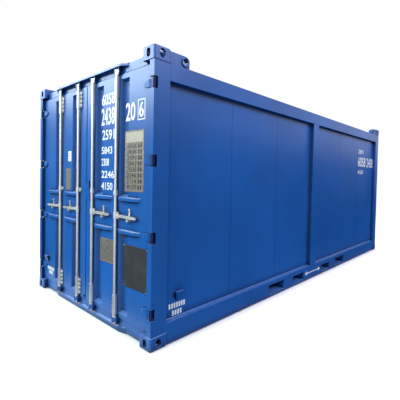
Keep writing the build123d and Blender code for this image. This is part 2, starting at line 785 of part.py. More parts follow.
def lock_rod(rod):
    """Rod of the right leaf with both cams, the handle's hub and its pivot pin."""
    body = prism_z(Pos(rod, ROD_Y) * Circle(ROD_RADIUS), (CAM_BASE, CAM_TOP))
    body += lock_cam(rod, (CAM_BASE, CAM_BASE + CAM_TALL))
    body += lock_cam(rod, (CAM_TOP - CAM_TALL, CAM_TOP))
    hub_z = span(HANDLE_Z, HUB_TALL)
    body += prism_z(Pos(rod, ROD_Y) * Circle(HUB_RADIUS), hub_z)
    pivot = rod + PIVOT_OFFSET
    body += block((rod, pivot + HUB_LUG_END), (ROD_Y, ROD_Y + HUB_LUG_THICK), hub_z)
    head_back = HANDLE_FRONT - PIVOT_GAP
    body += prism_y(Pos(pivot, HANDLE_Z) * Circle(PIVOT_RADIUS), (head_back, ROD_Y))
    head = (head_back - PIVOT_HEAD_THICK, head_back)
    return body + prism_y(Pos(pivot, HANDLE_Z) * Circle(PIVOT_HEAD_RADIUS), head)


def rod_handle(rod):
    """Forged handle, tapered on top from its eye to a rounded grip."""
    pivot = rod + PIVOT_OFFSET
    half, tip_half = HANDLE_TALL / 2, HANDLE_TIP_TALL / 2
    base = HANDLE_Z - half
    grip = rod + HANDLE_TIP - tip_half
    face = Pos(pivot, HANDLE_Z) * Circle(half)
    face += Pos(grip, base + tip_half) * Circle(tip_half)
    face += outline((pivot, base), (grip, base), (grip, base + HANDLE_TIP_TALL), (pivot, HANDLE_Z + half))
    face -= Pos(pivot, HANDLE_Z) * Circle(PIVOT_RADIUS + PIN_RUNNING_CLEARANCE)
    return prism_y(face, (HANDLE_FRONT, HANDLE_BACK))


def tag_lug():
    """Wedge under a flat plate, drawn on a wall that faces -Y with its top at the origin."""
    wedge_top = -LUG_TOP_PLATE
    wedge_tall = LUG_TALL - LUG_TOP_PLATE
    lug = block(span(0, LUG_WIDE), (-LUG_PROUD, 0), (wedge_top, 0))
    profile = [(0, wedge_top), (-LUG_PROUD, wedge_top), (-LUG_TIP_PROUD, -LUG_TALL), (0, -LUG_TALL)]
    wedge = prism_x(profile, span(0, LUG_WIDE))
    face = outline(
        (-LUG_WIDE / 2, wedge_top),
        (LUG_WIDE / 2, wedge_top),
        (LUG_FOOT_WIDE / 2, wedge_top - wedge_tall),
        (-LUG_FOOT_WIDE / 2, wedge_top - wedge_tall),
    )
    return lug + (wedge & prism_y(face, (-LUG_PROUD, 0)))


def write_frame():
    """Everything that stays still."""
    save("bottom_corner_castings", *corner_castings(-1))
    save("top_corner_castings", *corner_castings(1))
    post = door_post()
    save("right_door_post", post)
    save("left_door_post", mirrored(post))
    save("rear_posts", *both_sides(rear_post()))
    rail = top_rail()
    save("right_top_rail", rail)
    save("left_top_rail", mirrored(rail))
    rail = bottom_rail()
    save("right_bottom_rail", rail)
    save("left_bottom_rail", mirrored(rail))
    save("mid_posts", *both_sides(mid_post()))
    panel = side_panel()
    save("right_side_panel", panel)
    save("left_side_panel", mirrored(panel))
    save("rear_panel", rear_panel())
    save("rear_top_rail", rear_rail(TOP_RAIL_BASE, TOP_RAIL_TOP))
    save("rear_bottom_rail", rear_rail(BOTTOM_RAIL_BASE, BOTTOM_RAIL_TOP))
    save("door_header", door_header())
    save("door_sill", door_sill())
    save("roof", roof())
    save("floor", floor())
    save("cross_members", *cross_members())
    save("fork_pockets", *[fork_pocket(*pocket) for pocket in POCKETS])
    save("pad_eyes", *pad_eyes())
    eave_z = (EAVE_BASE, EAVE_BASE + EAVE_THICK)
    save("eave_plate", cam_plate(EAVE_HALF, EAVE_FLARE, FRONT + EAVE_SETBACK, eave_z))
    save("sill_plate", sill_plate())
    save("upper_cam_keepers", *cam_keepers((HEADER_BASE, HEADER_BASE + KEEPER_TALL)))
    save("lower_cam_keepers", *cam_keepers((SILL_TOP - KEEPER_TALL, SILL_TOP)))
    pins = hinge_pins()
    save("hinge_pins", *pins, *[mirrored(pin) for pin in pins])
    side_place = Pos(RAIL_INNER, POST_BACK + SIDE_LUG_INSET, BOTTOM_RAIL_TOP + SIDE_LUG_RISE)
    save("side_tag_lug", side_place * Rot(0, 0, 90) * tag_lug())


def write_doors():
    """Both leaves and what they carry."""
    rods = ROD_PLACES.values()
    right_pieces = {
        "door_frame": [door_frame()],
        "door_skin": [door_skin()],
        "hinge_blades": [hinge_blade(height) for height in HINGE_HEIGHTS],
        "handle_guards": [handle_guard(rod, base) for rod in rods for base in GUARD_BASES],
        "rod_brackets": rod_brackets(),
        "handle_catches": [handle_catch(rod) for rod in rods],
    }
    for place, rod in ROD_PLACES.items():
        right_pieces[f"{place}_lock_rod"] = [lock_rod(rod)]
        right_pieces[f"{place}_handle"] = [rod_handle(rod)]
    for name, pieces in right_pieces.items():
        save(f"right_{name}", *pieces)
        save(f"left_{name}", *[mirrored(piece) for piece in pieces])
    lug_place = Pos(DOOR_LUG_INSET - LEAF_OUTER, SKIN_Y, HINGE_FIRST + DOOR_LUG_RISE)
    save("door_tag_lug", lug_place * tag_lug())
    save("right_lock_plate", lock_plate())


os.makedirs("parts", exist_ok=True)
write_frame()
write_doors()
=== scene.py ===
import json
import math

import bmesh
import bpy
from mathutils import Matrix, Vector, noise


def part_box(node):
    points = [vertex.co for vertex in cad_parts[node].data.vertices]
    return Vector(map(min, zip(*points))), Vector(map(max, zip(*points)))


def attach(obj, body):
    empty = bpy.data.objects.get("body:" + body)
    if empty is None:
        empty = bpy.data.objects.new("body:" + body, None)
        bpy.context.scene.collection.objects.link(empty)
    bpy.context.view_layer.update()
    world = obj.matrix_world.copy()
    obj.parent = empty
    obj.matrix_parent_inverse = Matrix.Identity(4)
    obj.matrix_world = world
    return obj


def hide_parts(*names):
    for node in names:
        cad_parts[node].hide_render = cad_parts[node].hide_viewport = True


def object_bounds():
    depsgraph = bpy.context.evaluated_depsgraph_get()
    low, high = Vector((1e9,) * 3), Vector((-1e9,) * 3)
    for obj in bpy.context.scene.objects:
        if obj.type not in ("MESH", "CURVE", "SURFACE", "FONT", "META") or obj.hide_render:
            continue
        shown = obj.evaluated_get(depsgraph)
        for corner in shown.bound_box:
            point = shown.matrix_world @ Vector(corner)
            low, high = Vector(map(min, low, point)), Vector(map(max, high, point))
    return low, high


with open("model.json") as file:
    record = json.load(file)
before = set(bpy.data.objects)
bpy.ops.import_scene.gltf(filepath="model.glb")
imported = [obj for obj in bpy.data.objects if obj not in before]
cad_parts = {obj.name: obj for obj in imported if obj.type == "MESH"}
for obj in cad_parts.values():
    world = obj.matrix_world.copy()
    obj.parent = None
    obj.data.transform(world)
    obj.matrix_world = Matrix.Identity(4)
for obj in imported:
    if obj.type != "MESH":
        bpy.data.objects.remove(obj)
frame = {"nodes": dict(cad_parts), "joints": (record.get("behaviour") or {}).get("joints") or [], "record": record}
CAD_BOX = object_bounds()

bl_info = {
    "name": "Offshore freight container",
    "version": (1, 0, 0),
    "blender": (4, 5, 0),
    "location": "3D View > Sidebar > Container",
    "description": "Finishes, fasteners, welds, seals, plates and marks of a blue freight container",
    "category": "Object",
}

MM = 0.001
X, Y, Z = Vector((1, 0, 0)), Vector((0, 1, 0)), Vector((0, 0, 1))
SIDES = (("right", 1), ("left", -1))
ROD_PLACES = ("inner", "outer")


def srgb(code):
    """Linear colour of an sRGB hex value."""
    parts = [int(code[i : i + 2], 16) / 255 for i in (1, 3, 5)]
    linear = [p / 12.92 if p <= 0.04045 else ((p + 0.055) / 1.055) ** 2.4 for p in parts]
    return (*linear, 1.0)


def toned(colour, share):
    """The same hue with a share of its light, never brighter than white."""
    return (*(min(1.0, share * part) for part in colour[:3]), 1.0)


# Places that the frame gives
JOINT_PLACES = {joint["name"]: Vector(joint["pos_m"]) for joint in frame["joints"]}
SLOTS = {part["node"]: part["material_slot"] for part in frame["record"]["subparts"]}
SKIN_LOW, SKIN_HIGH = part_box("right_door_skin")
POST_LOW, POST_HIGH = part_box("right_door_post")
MID_LOW, MID_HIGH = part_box("mid_posts")
RAIL_LOW, RAIL_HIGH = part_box("right_bottom_rail")
FLOOR_LOW, FLOOR_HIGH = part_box("floor")
REAR_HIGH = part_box("rear_panel")[1]
SKIN_FACE = SKIN_LOW.y
LEAF_EDGE = SKIN_HIGH.x
PANEL_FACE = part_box("right_side_panel")[1].x
RAIL_FACE = RAIL_HIGH.x
SHEET_FOOT = RAIL_HIGH.z
SHEET_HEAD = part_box("right_top_rail")[0].z
HEADER_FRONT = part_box("door_header")[0].y
SILL_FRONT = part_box("door_sill")[0].y


class ContainerSizes(bpy.types.PropertyGroup):
    """Sizes of what is added to the steelwork"""

    edge_radius: bpy.props.FloatProperty(
        name="Edge radius", description="Rounding of cut and pressed steel edges",
        default=3 * MM, min=0.0, unit="LENGTH",
    )
    bolt_across: bpy.props.FloatProperty(
        name="Bolt width", description="Width across the flats of the bracket bolts",
        default=19 * MM, min=4 * MM, unit="LENGTH",
    )
    weld_leg: bpy.props.FloatProperty(
        name="Weld leg", description="Leg of the fillet welds between sheets, rails and posts",
        default=7 * MM, min=1 * MM, unit="LENGTH",
    )
    seam_width: bpy.props.FloatProperty(
        name="Seam width", description="Width of the ground butt welds in the side sheets",
        default=14 * MM, min=1 * MM, unit="LENGTH",
    )
    plate_thick: bpy.props.FloatProperty(
        name="Plate thickness", description="Thickness of the plates riveted to the doors",
        default=2 * MM, min=0.5 * MM, unit="LENGTH",
    )
    board_wide: bpy.props.FloatProperty(
        name="Board width", description="Width of one floor board",
        default=288 * MM, min=60 * MM, unit="LENGTH",
    )
    stencil_film: bpy.props.FloatProperty(
        name="Stencil film", description="How far the stencilled paint stands off the sheet",
        default=0.6 * MM, min=0.1 * MM, unit="LENGTH",
    )


RGBA = {"size": 4, "min": 0.0, "max": 1.0}


class ContainerColours(bpy.types.PropertyGroup):
    """Colours of the finishes"""

    enamel: bpy.props.FloatVectorProperty(
        name="Enamel", description="Blue of the steelwork",
        default=srgb("#1B60B0"), subtype="COLOR", **RGBA,
    )
    galvanised: bpy.props.FloatVectorProperty(
        name="Galvanised steel", description="Zinc on the lock rods and handles",
        default=srgb("#D8DBDE"), subtype="COLOR", **RGBA,
    )
    rubber: bpy.props.FloatVectorProperty(
        name="Rubber", description="Door seals",
        default=srgb("#1B1C20"), subtype="COLOR", **RGBA,
    )
    plywood: bpy.props.FloatVectorProperty(
        name="Plywood", description="Floor boards",
        default=srgb("#8E6A47"), subtype="COLOR", **RGBA,
    )
    stencil: bpy.props.FloatVectorProperty(
        name="Stencil paint", description="Numbers and marks",
        default=srgb("#EFF2F4"), subtype="COLOR", **RGBA,
    )
    plate: bpy.props.FloatVectorProperty(
        name="Plate metal", description="Etched plates on the doors",
        default=srgb("#9B978E"), subtype="COLOR", **RGBA,
    )
    board: bpy.props.FloatVectorProperty(
        name="Dark board", description="Plain dark board on the right door",
        default=srgb("#22252B"), subtype="COLOR", **RGBA,
    )


# Finishes

def add(tree, kind, inputs=None, **settings):
    """One node with its settings; an input is a value, an output, or a node for its first output."""
    node = tree.nodes.new(kind)
    for name, value in settings.items():
        setattr(node, name, value)
    for key, value in (inputs or {}).items():
        source = value.outputs[0] if isinstance(value, bpy.types.Node) else value
        if isinstance(source, bpy.types.NodeSocket):
            tree.links.new(source, node.inputs[key])
        else:
            node.inputs[key].default_value = source
    return node


def per_mm(size):
    """Texture scale at which one feature is about that many millimetres."""
    return 1.0 / (size * MM)


def blank_finish(name):
    """An empty node material, the tree to fill and the place on the piece."""
    material = bpy.data.materials.new(name)
    material.use_nodes = True
    tree = material.node_tree
    tree.nodes.clear()
    place = add(tree, "ShaderNodeTexCoord").outputs["Object"]
    return material, tree, place


def finish_with(tree, shader):
    """Join the shader to the material's output."""
    add(tree, "ShaderNodeOutputMaterial", {"Surface": shader})


def mottled(tree, place, patch, detail, levels, most, tones):
    """Colour that drifts from one tone towards another in cloudy patches of that many millimetres.

    The second tone comes in between the two levels of the clouds, up to the share that is its most.
    """
    clouds = add(tree, "ShaderNodeTexNoise", {"Vector": place, "Scale": per_mm(patch), "Detail": detail})
    share = add(tree, "ShaderNodeMapRange", {0: clouds, 1: levels[0], 2: levels[1], 4: most})
    mix = add(tree, "ShaderNodeMix", {0: share, 6: tones[0], 7: tones[1]}, data_type="RGBA")
    return mix.outputs[2]


def enamel_coat(tree, place, colour):
    """What the shader of sprayed enamel takes in.

    The coats overlap in soft drifts about a metre wide. Pale blue specks lie on ledges and thinly on the
    lowest half metre: dust, and on the ledges and other upward faces also a painted highlight of light
    from above. A deep navy, a painted shade, darkens the upright nooks within some 80 mm of an inside
    corner. The thin sheet is not quite flat, so wide reflections wander, and the sprayed film has an
    orange-peel skin. The skin's grain of 3 mm is too fine to show, so it is drawn at 16 mm.
    """
    coats = mottled(tree, place, 900, 3.0, (0.35, 0.65), 1.0, (toned(colour, 0.82), colour))
    height = add(tree, "ShaderNodeSeparateXYZ", {0: place})
    low = add(tree, "ShaderNodeMapRange", {0: height.outputs[2], 1: 0.0, 2: 500 * MM, 3: 0.06, 4: 0.0})
    facing = add(tree, "ShaderNodeSeparateXYZ", {0: add(tree, "ShaderNodeNewGeometry").outputs["Normal"]})
    # Painted highlight: faces that look upward turn pale, as if lit from above; the lowest half metre turns pale
    # with dust
    top_light_share = add(tree, "ShaderNodeMapRange", {0: facing.outputs[2], 1: 0.3, 2: 0.9, 3: 0.0, 4: 0.4})
    dust_and_top_light = add(tree, "ShaderNodeMath", {0: low, 1: top_light_share}, operation="MAXIMUM")
    specks = add(tree, "ShaderNodeTexNoise", {"Vector": place, "Scale": per_mm(70), "Detail": 6.0})
    specked_dust_and_top_light = add(tree, "ShaderNodeMath", {0: dust_and_top_light, 1: specks}, operation="MULTIPLY")
    # Pale blue of dust, which on upward faces is also a painted highlight
    dusted_and_top_lit = add(tree, "ShaderNodeMix", {0: specked_dust_and_top_light, 6: coats, 7: srgb("#93B2DC")}, data_type="RGBA")
    # Painted shade: deep navy over upright faces within 80 mm of an inside corner, none on faces that look upward
    nook = add(tree, "ShaderNodeAmbientOcclusion", {"Distance": 80 * MM}, samples=6)
    lit_from_above = add(tree, "ShaderNodeMapRange", {0: facing.outputs[2], 1: 0.2, 2: 0.6, 3: 0.08, 4: 1.0})
    unshaded = add(tree, "ShaderNodeMapRange", {0: nook.outputs["AO"], 1: 0.5, 2: 0.97, 3: lit_from_above, 4: 1.0})
    nook_shaded = add(tree, "ShaderNodeMix", {0: unshaded, 6: srgb("#111A40"), 7: dusted_and_top_lit.outputs[2]}, data_type="RGBA")
    wash = add(tree, "ShaderNodeMapping", {0: place, 3: (1.0, 1.0, 0.06)})
    runs = add(tree, "ShaderNodeTexNoise", {"Vector": wash, "Scale": per_mm(120), "Detail": 4.0})
    gloss = add(tree, "ShaderNodeMapRange", {0: runs, 1: 0.3, 2: 0.7, 3: 0.29, 4: 0.33})
    waves = add(tree, "ShaderNodeTexNoise", {"Vector": place, "Scale": per_mm(480), "Detail": 1.0})
    sheet = add(tree, "ShaderNodeBump", {"Strength": 0.22, "Distance": 12 * MM, "Height": waves})
    peel = add(tree, "ShaderNodeTexNoise", {"Vector": place, "Scale": per_mm(16), "Detail": 1.0})
    film = {"Strength": 0.05, "Distance": 0.4 * MM, "Height": peel, "Normal": sheet}
    skin = add(tree, "ShaderNodeBump", film)
    coat = {"Base Color": nook_shaded.outputs[2], "Roughness": gloss, "Normal": skin}
    return {**coat, "IOR": 1.5, "Specular IOR Level": 0.4}


def enamel_paint(colours):
    """Alkyd enamel sprayed on blasted steel: an even deep blue under a clear wet-looking gloss."""
    material, tree, place = blank_finish("Blue alkyd enamel, sprayed")
    finish_with(tree, add(tree, "ShaderNodeBsdfPrincipled", enamel_coat(tree, place, colours.enamel)))
    return material


def seam_paint(colours):
    """Enamel over a ground weld: thinner on the ridge and grimy beside it, so a seam shows as a dark line."""
    material, tree, place = blank_finish("Blue alkyd enamel, over ground welds")
    coat = enamel_coat(tree, place, toned(colours.enamel, 0.72))
    finish_with(tree, add(tree, "ShaderNodeBsdfPrincipled", {**coat, "Specular IOR Level": 0.3}))
    return material


def worn_enamel(colours, rods):
    """Enamel on the sill plate rubbed through to dull steel: a patch under each rod, scuffs between."""
    material, tree, place = blank_finish("Blue alkyd enamel, rubbed through by cams")
    coat = enamel_coat(tree, place, colours.enamel)
    where = add(tree, "ShaderNodeSeparateXYZ", {0: place})
    ragged = add(tree, "ShaderNodeTexNoise", {"Vector": place, "Scale": per_mm(35), "Detail": 5.0})
    along = add(tree, "ShaderNodeMapping", {0: place, 3: (0.25, 1.0, 1.0)})
    scuffs = add(tree, "ShaderNodeTexNoise", {"Vector": along, "Scale": per_mm(20), "Detail": 4.0})
    worn = add(tree, "ShaderNodeMath", {0: scuffs, 1: 0.45}, operation="MULTIPLY")
    for rod in rods:
        off = add(tree, "ShaderNodeMath", {0: where.outputs[0], 1: rod}, operation="SUBTRACT")
        far = add(tree, "ShaderNodeMath", {0: off}, operation="ABSOLUTE")
        near = add(tree, "ShaderNodeMapRange", {0: far, 1: 40 * MM, 2: 100 * MM, 3: 0.9, 4: 0.0})
        spot = add(tree, "ShaderNodeMath", {0: near, 1: ragged}, operation="MULTIPLY")
        worn = add(tree, "ShaderNodeMath", {0: worn, 1: spot}, operation="MAXIMUM")
    upper = add(tree, "ShaderNodeMapRange", {0: where.outputs[2], 1: 42 * MM, 2: 50 * MM})
    worn = add(tree, "ShaderNodeMath", {0: worn, 1: upper}, operation="MULTIPLY")
    bare = add(tree, "ShaderNodeMapRange", {0: worn, 1: 0.26, 2: 0.4, 3: 0.0, 4: 0.85})
    steel = srgb("#8A8078")
    rubbed = add(tree, "ShaderNodeMix", {0: bare, 6: coat["Base Color"], 7: steel}, data_type="RGBA")
    dull = add(tree, "ShaderNodeMix", {0: bare, 2: coat["Roughness"], 3: 0.6})
    worn_coat = {**coat, "Base Color": rubbed.outputs[2], "Roughness": dull}
    finish_with(tree, add(tree, "ShaderNodeBsdfPrincipled", worn_coat))
    return material


def zinc_shader(tree, place, colours):
    """Hot-dip zinc: pale metal with frosted crystals some 12 mm across and duller patches."""
    crystals = add(tree, "ShaderNodeTexVoronoi", {"Vector": place, "Scale": per_mm(12)})
    shade = add(tree, "ShaderNodeSeparateColor", {0: crystals.outputs["Color"]})
    patches = add(tree, "ShaderNodeTexNoise", {"Vector": place, "Scale": per_mm(110), "Detail": 4.0})
    blend = add(tree, "ShaderNodeMath", {0: shade.outputs[0], 1: patches}, operation="MULTIPLY")
    pale = colours.galvanised
    zinc = add(tree, "ShaderNodeMix", {0: blend, 6: pale, 7: toned(pale, 0.72)}, data_type="RGBA")
    dull = add(tree, "ShaderNodeMapRange", {0: patches, 1: 0.3, 2: 0.7, 3: 0.4, 4: 0.58})
    relief = add(tree, "ShaderNodeBump", {"Strength": 0.08, "Distance": 0.3 * MM, "Height": shade.outputs[0]})
    metal = {"Base Color": zinc.outputs[2], "Metallic": 0.8, "Roughness": dull, "Normal": relief}
    return add(tree, "ShaderNodeBsdfPrincipled", metal)


def galvanised_steel(colours):
    """Hot-dip galvanised steel: a pale, frosted grey that takes soft highlights."""
    material, tree, place = blank_finish("Hot-dip galvanised steel")
    finish_with(tree, zinc_shader(tree, place, colours))
    return material


def oversprayed_zinc(colours, name, axis, painted, bare):
    """Galvanised steel that was sprayed blue together with what it is fixed to, up to a soft line."""
    material, tree, place = blank_finish(f"Hot-dip galvanised steel, {name}")
    zinc = zinc_shader(tree, place, colours)
    paint = add(tree, "ShaderNodeBsdfPrincipled", enamel_coat(tree, place, colours.enamel))
    where = add(tree, "ShaderNodeSeparateXYZ", {0: place})
    share = add(tree, "ShaderNodeMapRange", {0: where.outputs[axis], 1: painted, 2: bare})
    finish_with(tree, add(tree, "ShaderNodeMixShader", {0: share, 1: paint, 2: zinc}))
    return material


def knuckle_shaded_enamel(colours, edge):
    """Enamelled hinges, duller and dark navy beyond the leaf's edge at pins and knuckles: a painted shade of the
    post's notch.
    """
    material, tree, place = blank_finish("Blue alkyd enamel, knuckles in painted shade")
    coat = enamel_coat(tree, place, colours.enamel)
    across = add(tree, "ShaderNodeSeparateXYZ", {0: place}).outputs[0]
    off = add(tree, "ShaderNodeMath", {0: across}, operation="ABSOLUTE")
    knuckle_shade_share = add(tree, "ShaderNodeMapRange", {0: off, 1: edge + 12 * MM, 2: edge + 22 * MM})
    # Painted shade: dark navy for the shadowed notch in the post where the pins and knuckles sit
    knuckle_shade = srgb("#142152")
    tone = add(tree, "ShaderNodeMix", {0: knuckle_shade_share, 6: coat["Base Color"], 7: knuckle_shade}, data_type="RGBA")
    knuckle_shaded_coat = {**coat, "Base Color": tone.outputs[2], "Specular IOR Level": 0.2}
    finish_with(tree, add(tree, "ShaderNodeBsdfPrincipled", knuckle_shaded_coat))
    return material


def seal_rubber(colours):
    """Extruded EPDM: a dull near-black with a grey bloom."""
    material, tree, place = blank_finish("EPDM rubber, extruded")
    tone = mottled(tree, place, 45, 5.0, (0.4, 0.75), 0.35, (colours.rubber, srgb("#3E4046")))
    rubber = {"Base Color": tone, "Roughness": 0.62, "IOR": 1.52}
    finish_with(tree, add(tree, "ShaderNodeBsdfPrincipled", rubber))
    return material


def floor_plywood(colours):
    """Hardwood plywood, oiled: grain streaks along the boards, scuffed paler by pallets."""
    material, tree, place = blank_finish("Hardwood plywood, oiled")
    along = add(tree, "ShaderNodeMapping", {0: place, 3: (1.0, 0.05, 1.0)})
    streaky = {"Vector": along, "Scale": per_mm(18), "Detail": 8.0, "Distortion": 0.6}
    grain = add(tree, "ShaderNodeTexNoise", streaky)
    brown = colours.plywood
    streaks = add(tree, "ShaderNodeMix", {0: grain, 6: toned(brown, 0.5), 7: brown}, data_type="RGBA")
    worn = mottled(tree, place, 260, 5.0, (0.5, 0.75), 0.45, (streaks.outputs[2], srgb("#A58E70")))
    relief = add(tree, "ShaderNodeBump", {"Strength": 0.3, "Distance": 0.8 * MM, "Height": grain})
    wood = {"Base Color": worn, "Roughness": 0.58, "Normal": relief, "IOR": 1.47}
    finish_with(tree, add(tree, "ShaderNodeBsdfPrincipled", wood))
    return material


def stencil_paint(colours):
    """Stencilled alkyd paint: flat white, thin enough in places for the blue to grey it."""
    material, tree, place = blank_finish("White alkyd paint, stencilled")
    tone = mottled(tree, place, 25, 4.0, (0.55, 0.8), 0.3, (colours.stencil, srgb("#B9CBE0")))
    paint = {"Base Color": tone, "Roughness": 0.45, "IOR": 1.5}
    finish_with(tree, add(tree, "ShaderNodeBsdfPrincipled", paint))
    return material


def etched_plate(colours):
    """Etched aluminium: satin grey, mottled where the etch and the weather have clouded it."""
    material, tree, place = blank_finish("Aluminium plate, etched")
    tone = mottled(tree, place, 14, 6.0, (0.3, 0.7), 1.0, (toned(colours.plate, 0.38), colours.plate))
    metal = {"Base Color": tone, "Metallic": 0.5, "Roughness": 0.5}
    finish_with(tree, add(tree, "ShaderNodeBsdfPrincipled", metal))
    return material


def plate_field(colours):
    """Aluminium left bare of etch: a paler satin field at the head of a plate."""
    material, tree, place = blank_finish("Aluminium plate, bare satin")
    tone = mottled(tree, place, 30, 4.0, (0.0, 1.0), 1.0, (colours.plate, toned(colours.plate, 1.5)))
    metal = {"Base Color": tone, "Metallic": 0.5, "Roughness": 0.42}
    finish_with(tree, add(tree, "ShaderNodeBsdfPrincipled", metal))
    return material


def dark_board(colours):
    """Powder-coated sheet: a flat slate grey with a fine matt grain, wiped paler in places."""
    material, tree, place = blank_finish("Sheet steel, powder coated slate")
    tone = mottled(tree, place, 150, 5.0, (0.5, 0.8), 0.25, (colours.board, srgb("#5A6068")))
    grain = add(tree, "ShaderNodeTexNoise", {"Vector": place, "Scale": per_mm(5), "Detail": 2.0})
    relief = add(tree, "ShaderNodeBump", {"Strength": 0.15, "Distance": 0.3 * MM, "Height": grain})
    powder = {"Base Color": tone, "Roughness": 0.6, "Normal": relief, "IOR": 1.5}
    finish_with(tree, add(tree, "ShaderNodeBsdfPrincipled", powder))
    return material


def plate_ink(colours):
    """Fired enamel in the etched lines of the plates: matt black, a little worn."""
    material, tree, place = blank_finish("Black vitreous enamel, in etched lines")
    tone = mottled(tree, place, 20, 3.0, (0.5, 0.8), 0.3, (srgb("#1D1F23"), colours.plate))
    enamel = {"Base Color": tone, "Roughness": 0.5, "IOR": 1.5}
    finish_with(tree, add(tree, "ShaderNodeBsdfPrincipled", enamel))
    return material


FINISHES = {}


def finish_of(make):
    """The material that a function makes from the colours, made once."""
    if make not in FINISHES:
        FINISHES[make] = make(bpy.context.scene.container_colours)
    return FINISHES[make]


# Shapes

SMOOTH_ANGLE = math.radians(35)
# Fillet weld and ground seam, as shares of the leg and of the seam's width
FILLET_SUNK, FILLET_THROAT = 0.1, 0.62
SEAM_PROUD, SEAM_SUNK = 0.09, 0.05


def face_place(origin, across, up):
    """Frame on a wall: local x across it, y up it and z out of it."""
    axes = Matrix((across, up, across.cross(up))).transposed().to_4x4()
    return Matrix.Translation(origin) @ axes


def door_place(x, z, depth=0.0):
    """Frame on the door skin at a place across and up."""
    return face_place(Vector((x, SKIN_FACE - depth, z)), X, Z)


def side_place(y, z, depth=0.0):
    """Frame on the right side sheet at a place along and up."""
    return face_place(Vector((PANEL_FACE + depth, y, z)), Y, Z)


def loft(bm, place, loops):
    """Skin over loops of local points, closed at both ends."""
    rings = [[bm.verts.new(place @ Vector(point)) for point in loop] for loop in loops]
    count = len(rings[0])
    for low, high in zip(rings, rings[1:]):
        for i in range(count):
            j = (i + 1) % count
            bm.faces.new((low[i], low[j], high[j], high[i]))
    bm.faces.new(list(reversed(rings[0])))
    bm.faces.new(rings[-1])


def lathe(bm, place, profile, sides):
    """Turned shape about local z, from pairs of radius and height."""
    turns = [2 * math.pi * i / sides for i in range(sides)]
    loft(bm, place, [[(r * math.cos(t), r * math.sin(t), h) for t in turns] for r, h in profile])


def rounded_rectangle(width, height, radius, steps=4):
    """Points round a rectangle with arcs at its corners."""
    points = []
    for turn, (sx, sy) in enumerate(((1, 1), (-1, 1), (-1, -1), (1, -1))):
        for i in range(steps + 1):
            angle = math.pi / 2 * (turn + i / steps)
            points.append((
                sx * (width / 2 - radius) + radius * math.cos(angle),
                sy * (height / 2 - radius) + radius * math.sin(angle),
            ))
    return points


def plate(bm, place, width, height, thick, radius):
    """Flat plate with round corners and a broken front edge."""
    rim = min(0.4 * thick, radius / 2)
    outer = rounded_rectangle(width, height, radius)
    inner = rounded_rectangle(width - 2 * rim, height - 2 * rim, radius - rim)
    loft(bm, place, [
        [(x, y, 0.0) for x, y in outer],
        [(x, y, thick - rim) for x, y in outer],
        [(x, y, thick) for x, y in inner],
    ])


def hex_bolt(bm, place, across):
    """Hexagon head on a round washer."""
    corner = across / math.sqrt(3)
    washer = 0.14 * across
    head = washer + 0.62 * across
    lathe(bm, place, [(1.05 * across, 0.0), (1.05 * across, 0.7 * washer), (0.98 * across, washer)], 18)
    lathe(bm, place, [(corner, washer), (corner, head - 0.1 * across), (0.8 * corner, head)], 6)


def rivet(bm, place, radius):
    """Low domed head."""
    steps = [math.pi / 2 * i / 4 for i in range(4)]
    lathe(bm, place, [(radius * math.cos(t), 0.55 * radius * math.sin(t)) for t in steps], 12)


def bead(bm, start, end, offsets, pitch=28 * MM, ripple=0.1, wave=45):
    """Weld run from start to end: a closed section of offsets whose size ripples in waves of so many mm."""
    steps = max(2, round((end - start).length / pitch))
    loops = []
    for i in range(steps + 1):
        middle = start.lerp(end, i / steps)
        swell = 1.0 + ripple * noise.noise(middle * per_mm(wave)) * (0 < i < steps)
        loops.append([middle + swell * offset for offset in offsets])
    loft(bm, Matrix.Identity(4), loops)


def fillet(bm, start, end, first, second, leg):
    """Fillet weld in the corner between two faces whose outward directions are given."""
    both = leg * (first + second)
    bead(bm, start, end, [-FILLET_SUNK * both, leg * first, FILLET_THROAT * both, leg * second])


def make_piece(name, bm, finish, body, smooth=False):
    """Mesh object in a finish on a body, from a bmesh that is used up."""
    bmesh.ops.recalc_face_normals(bm, faces=bm.faces)
    mesh = bpy.data.meshes.new(name)
    bm.to_mesh(mesh)
    bm.free()
    mesh.materials.append(finish_of(finish))
    piece = bpy.data.objects.new(name, mesh)
    bpy.context.scene.collection.objects.link(piece)
    if smooth:
        mesh.shade_smooth()
        mesh.set_sharp_from_angle(angle=SMOOTH_ANGLE)
    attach(piece, body)
    return piece


# Pieces

CAM_PAINT = 36 * MM
CAM_PAINT_FADE = 6 * MM
EAR_THICK = 4.9 * MM
EAR_PAINT, EAR_BARE = 0.3 * MM, 0.9 * MM
JOIN_REACH = 0.02 * MM
SHARP_ANGLE = math.radians(28)


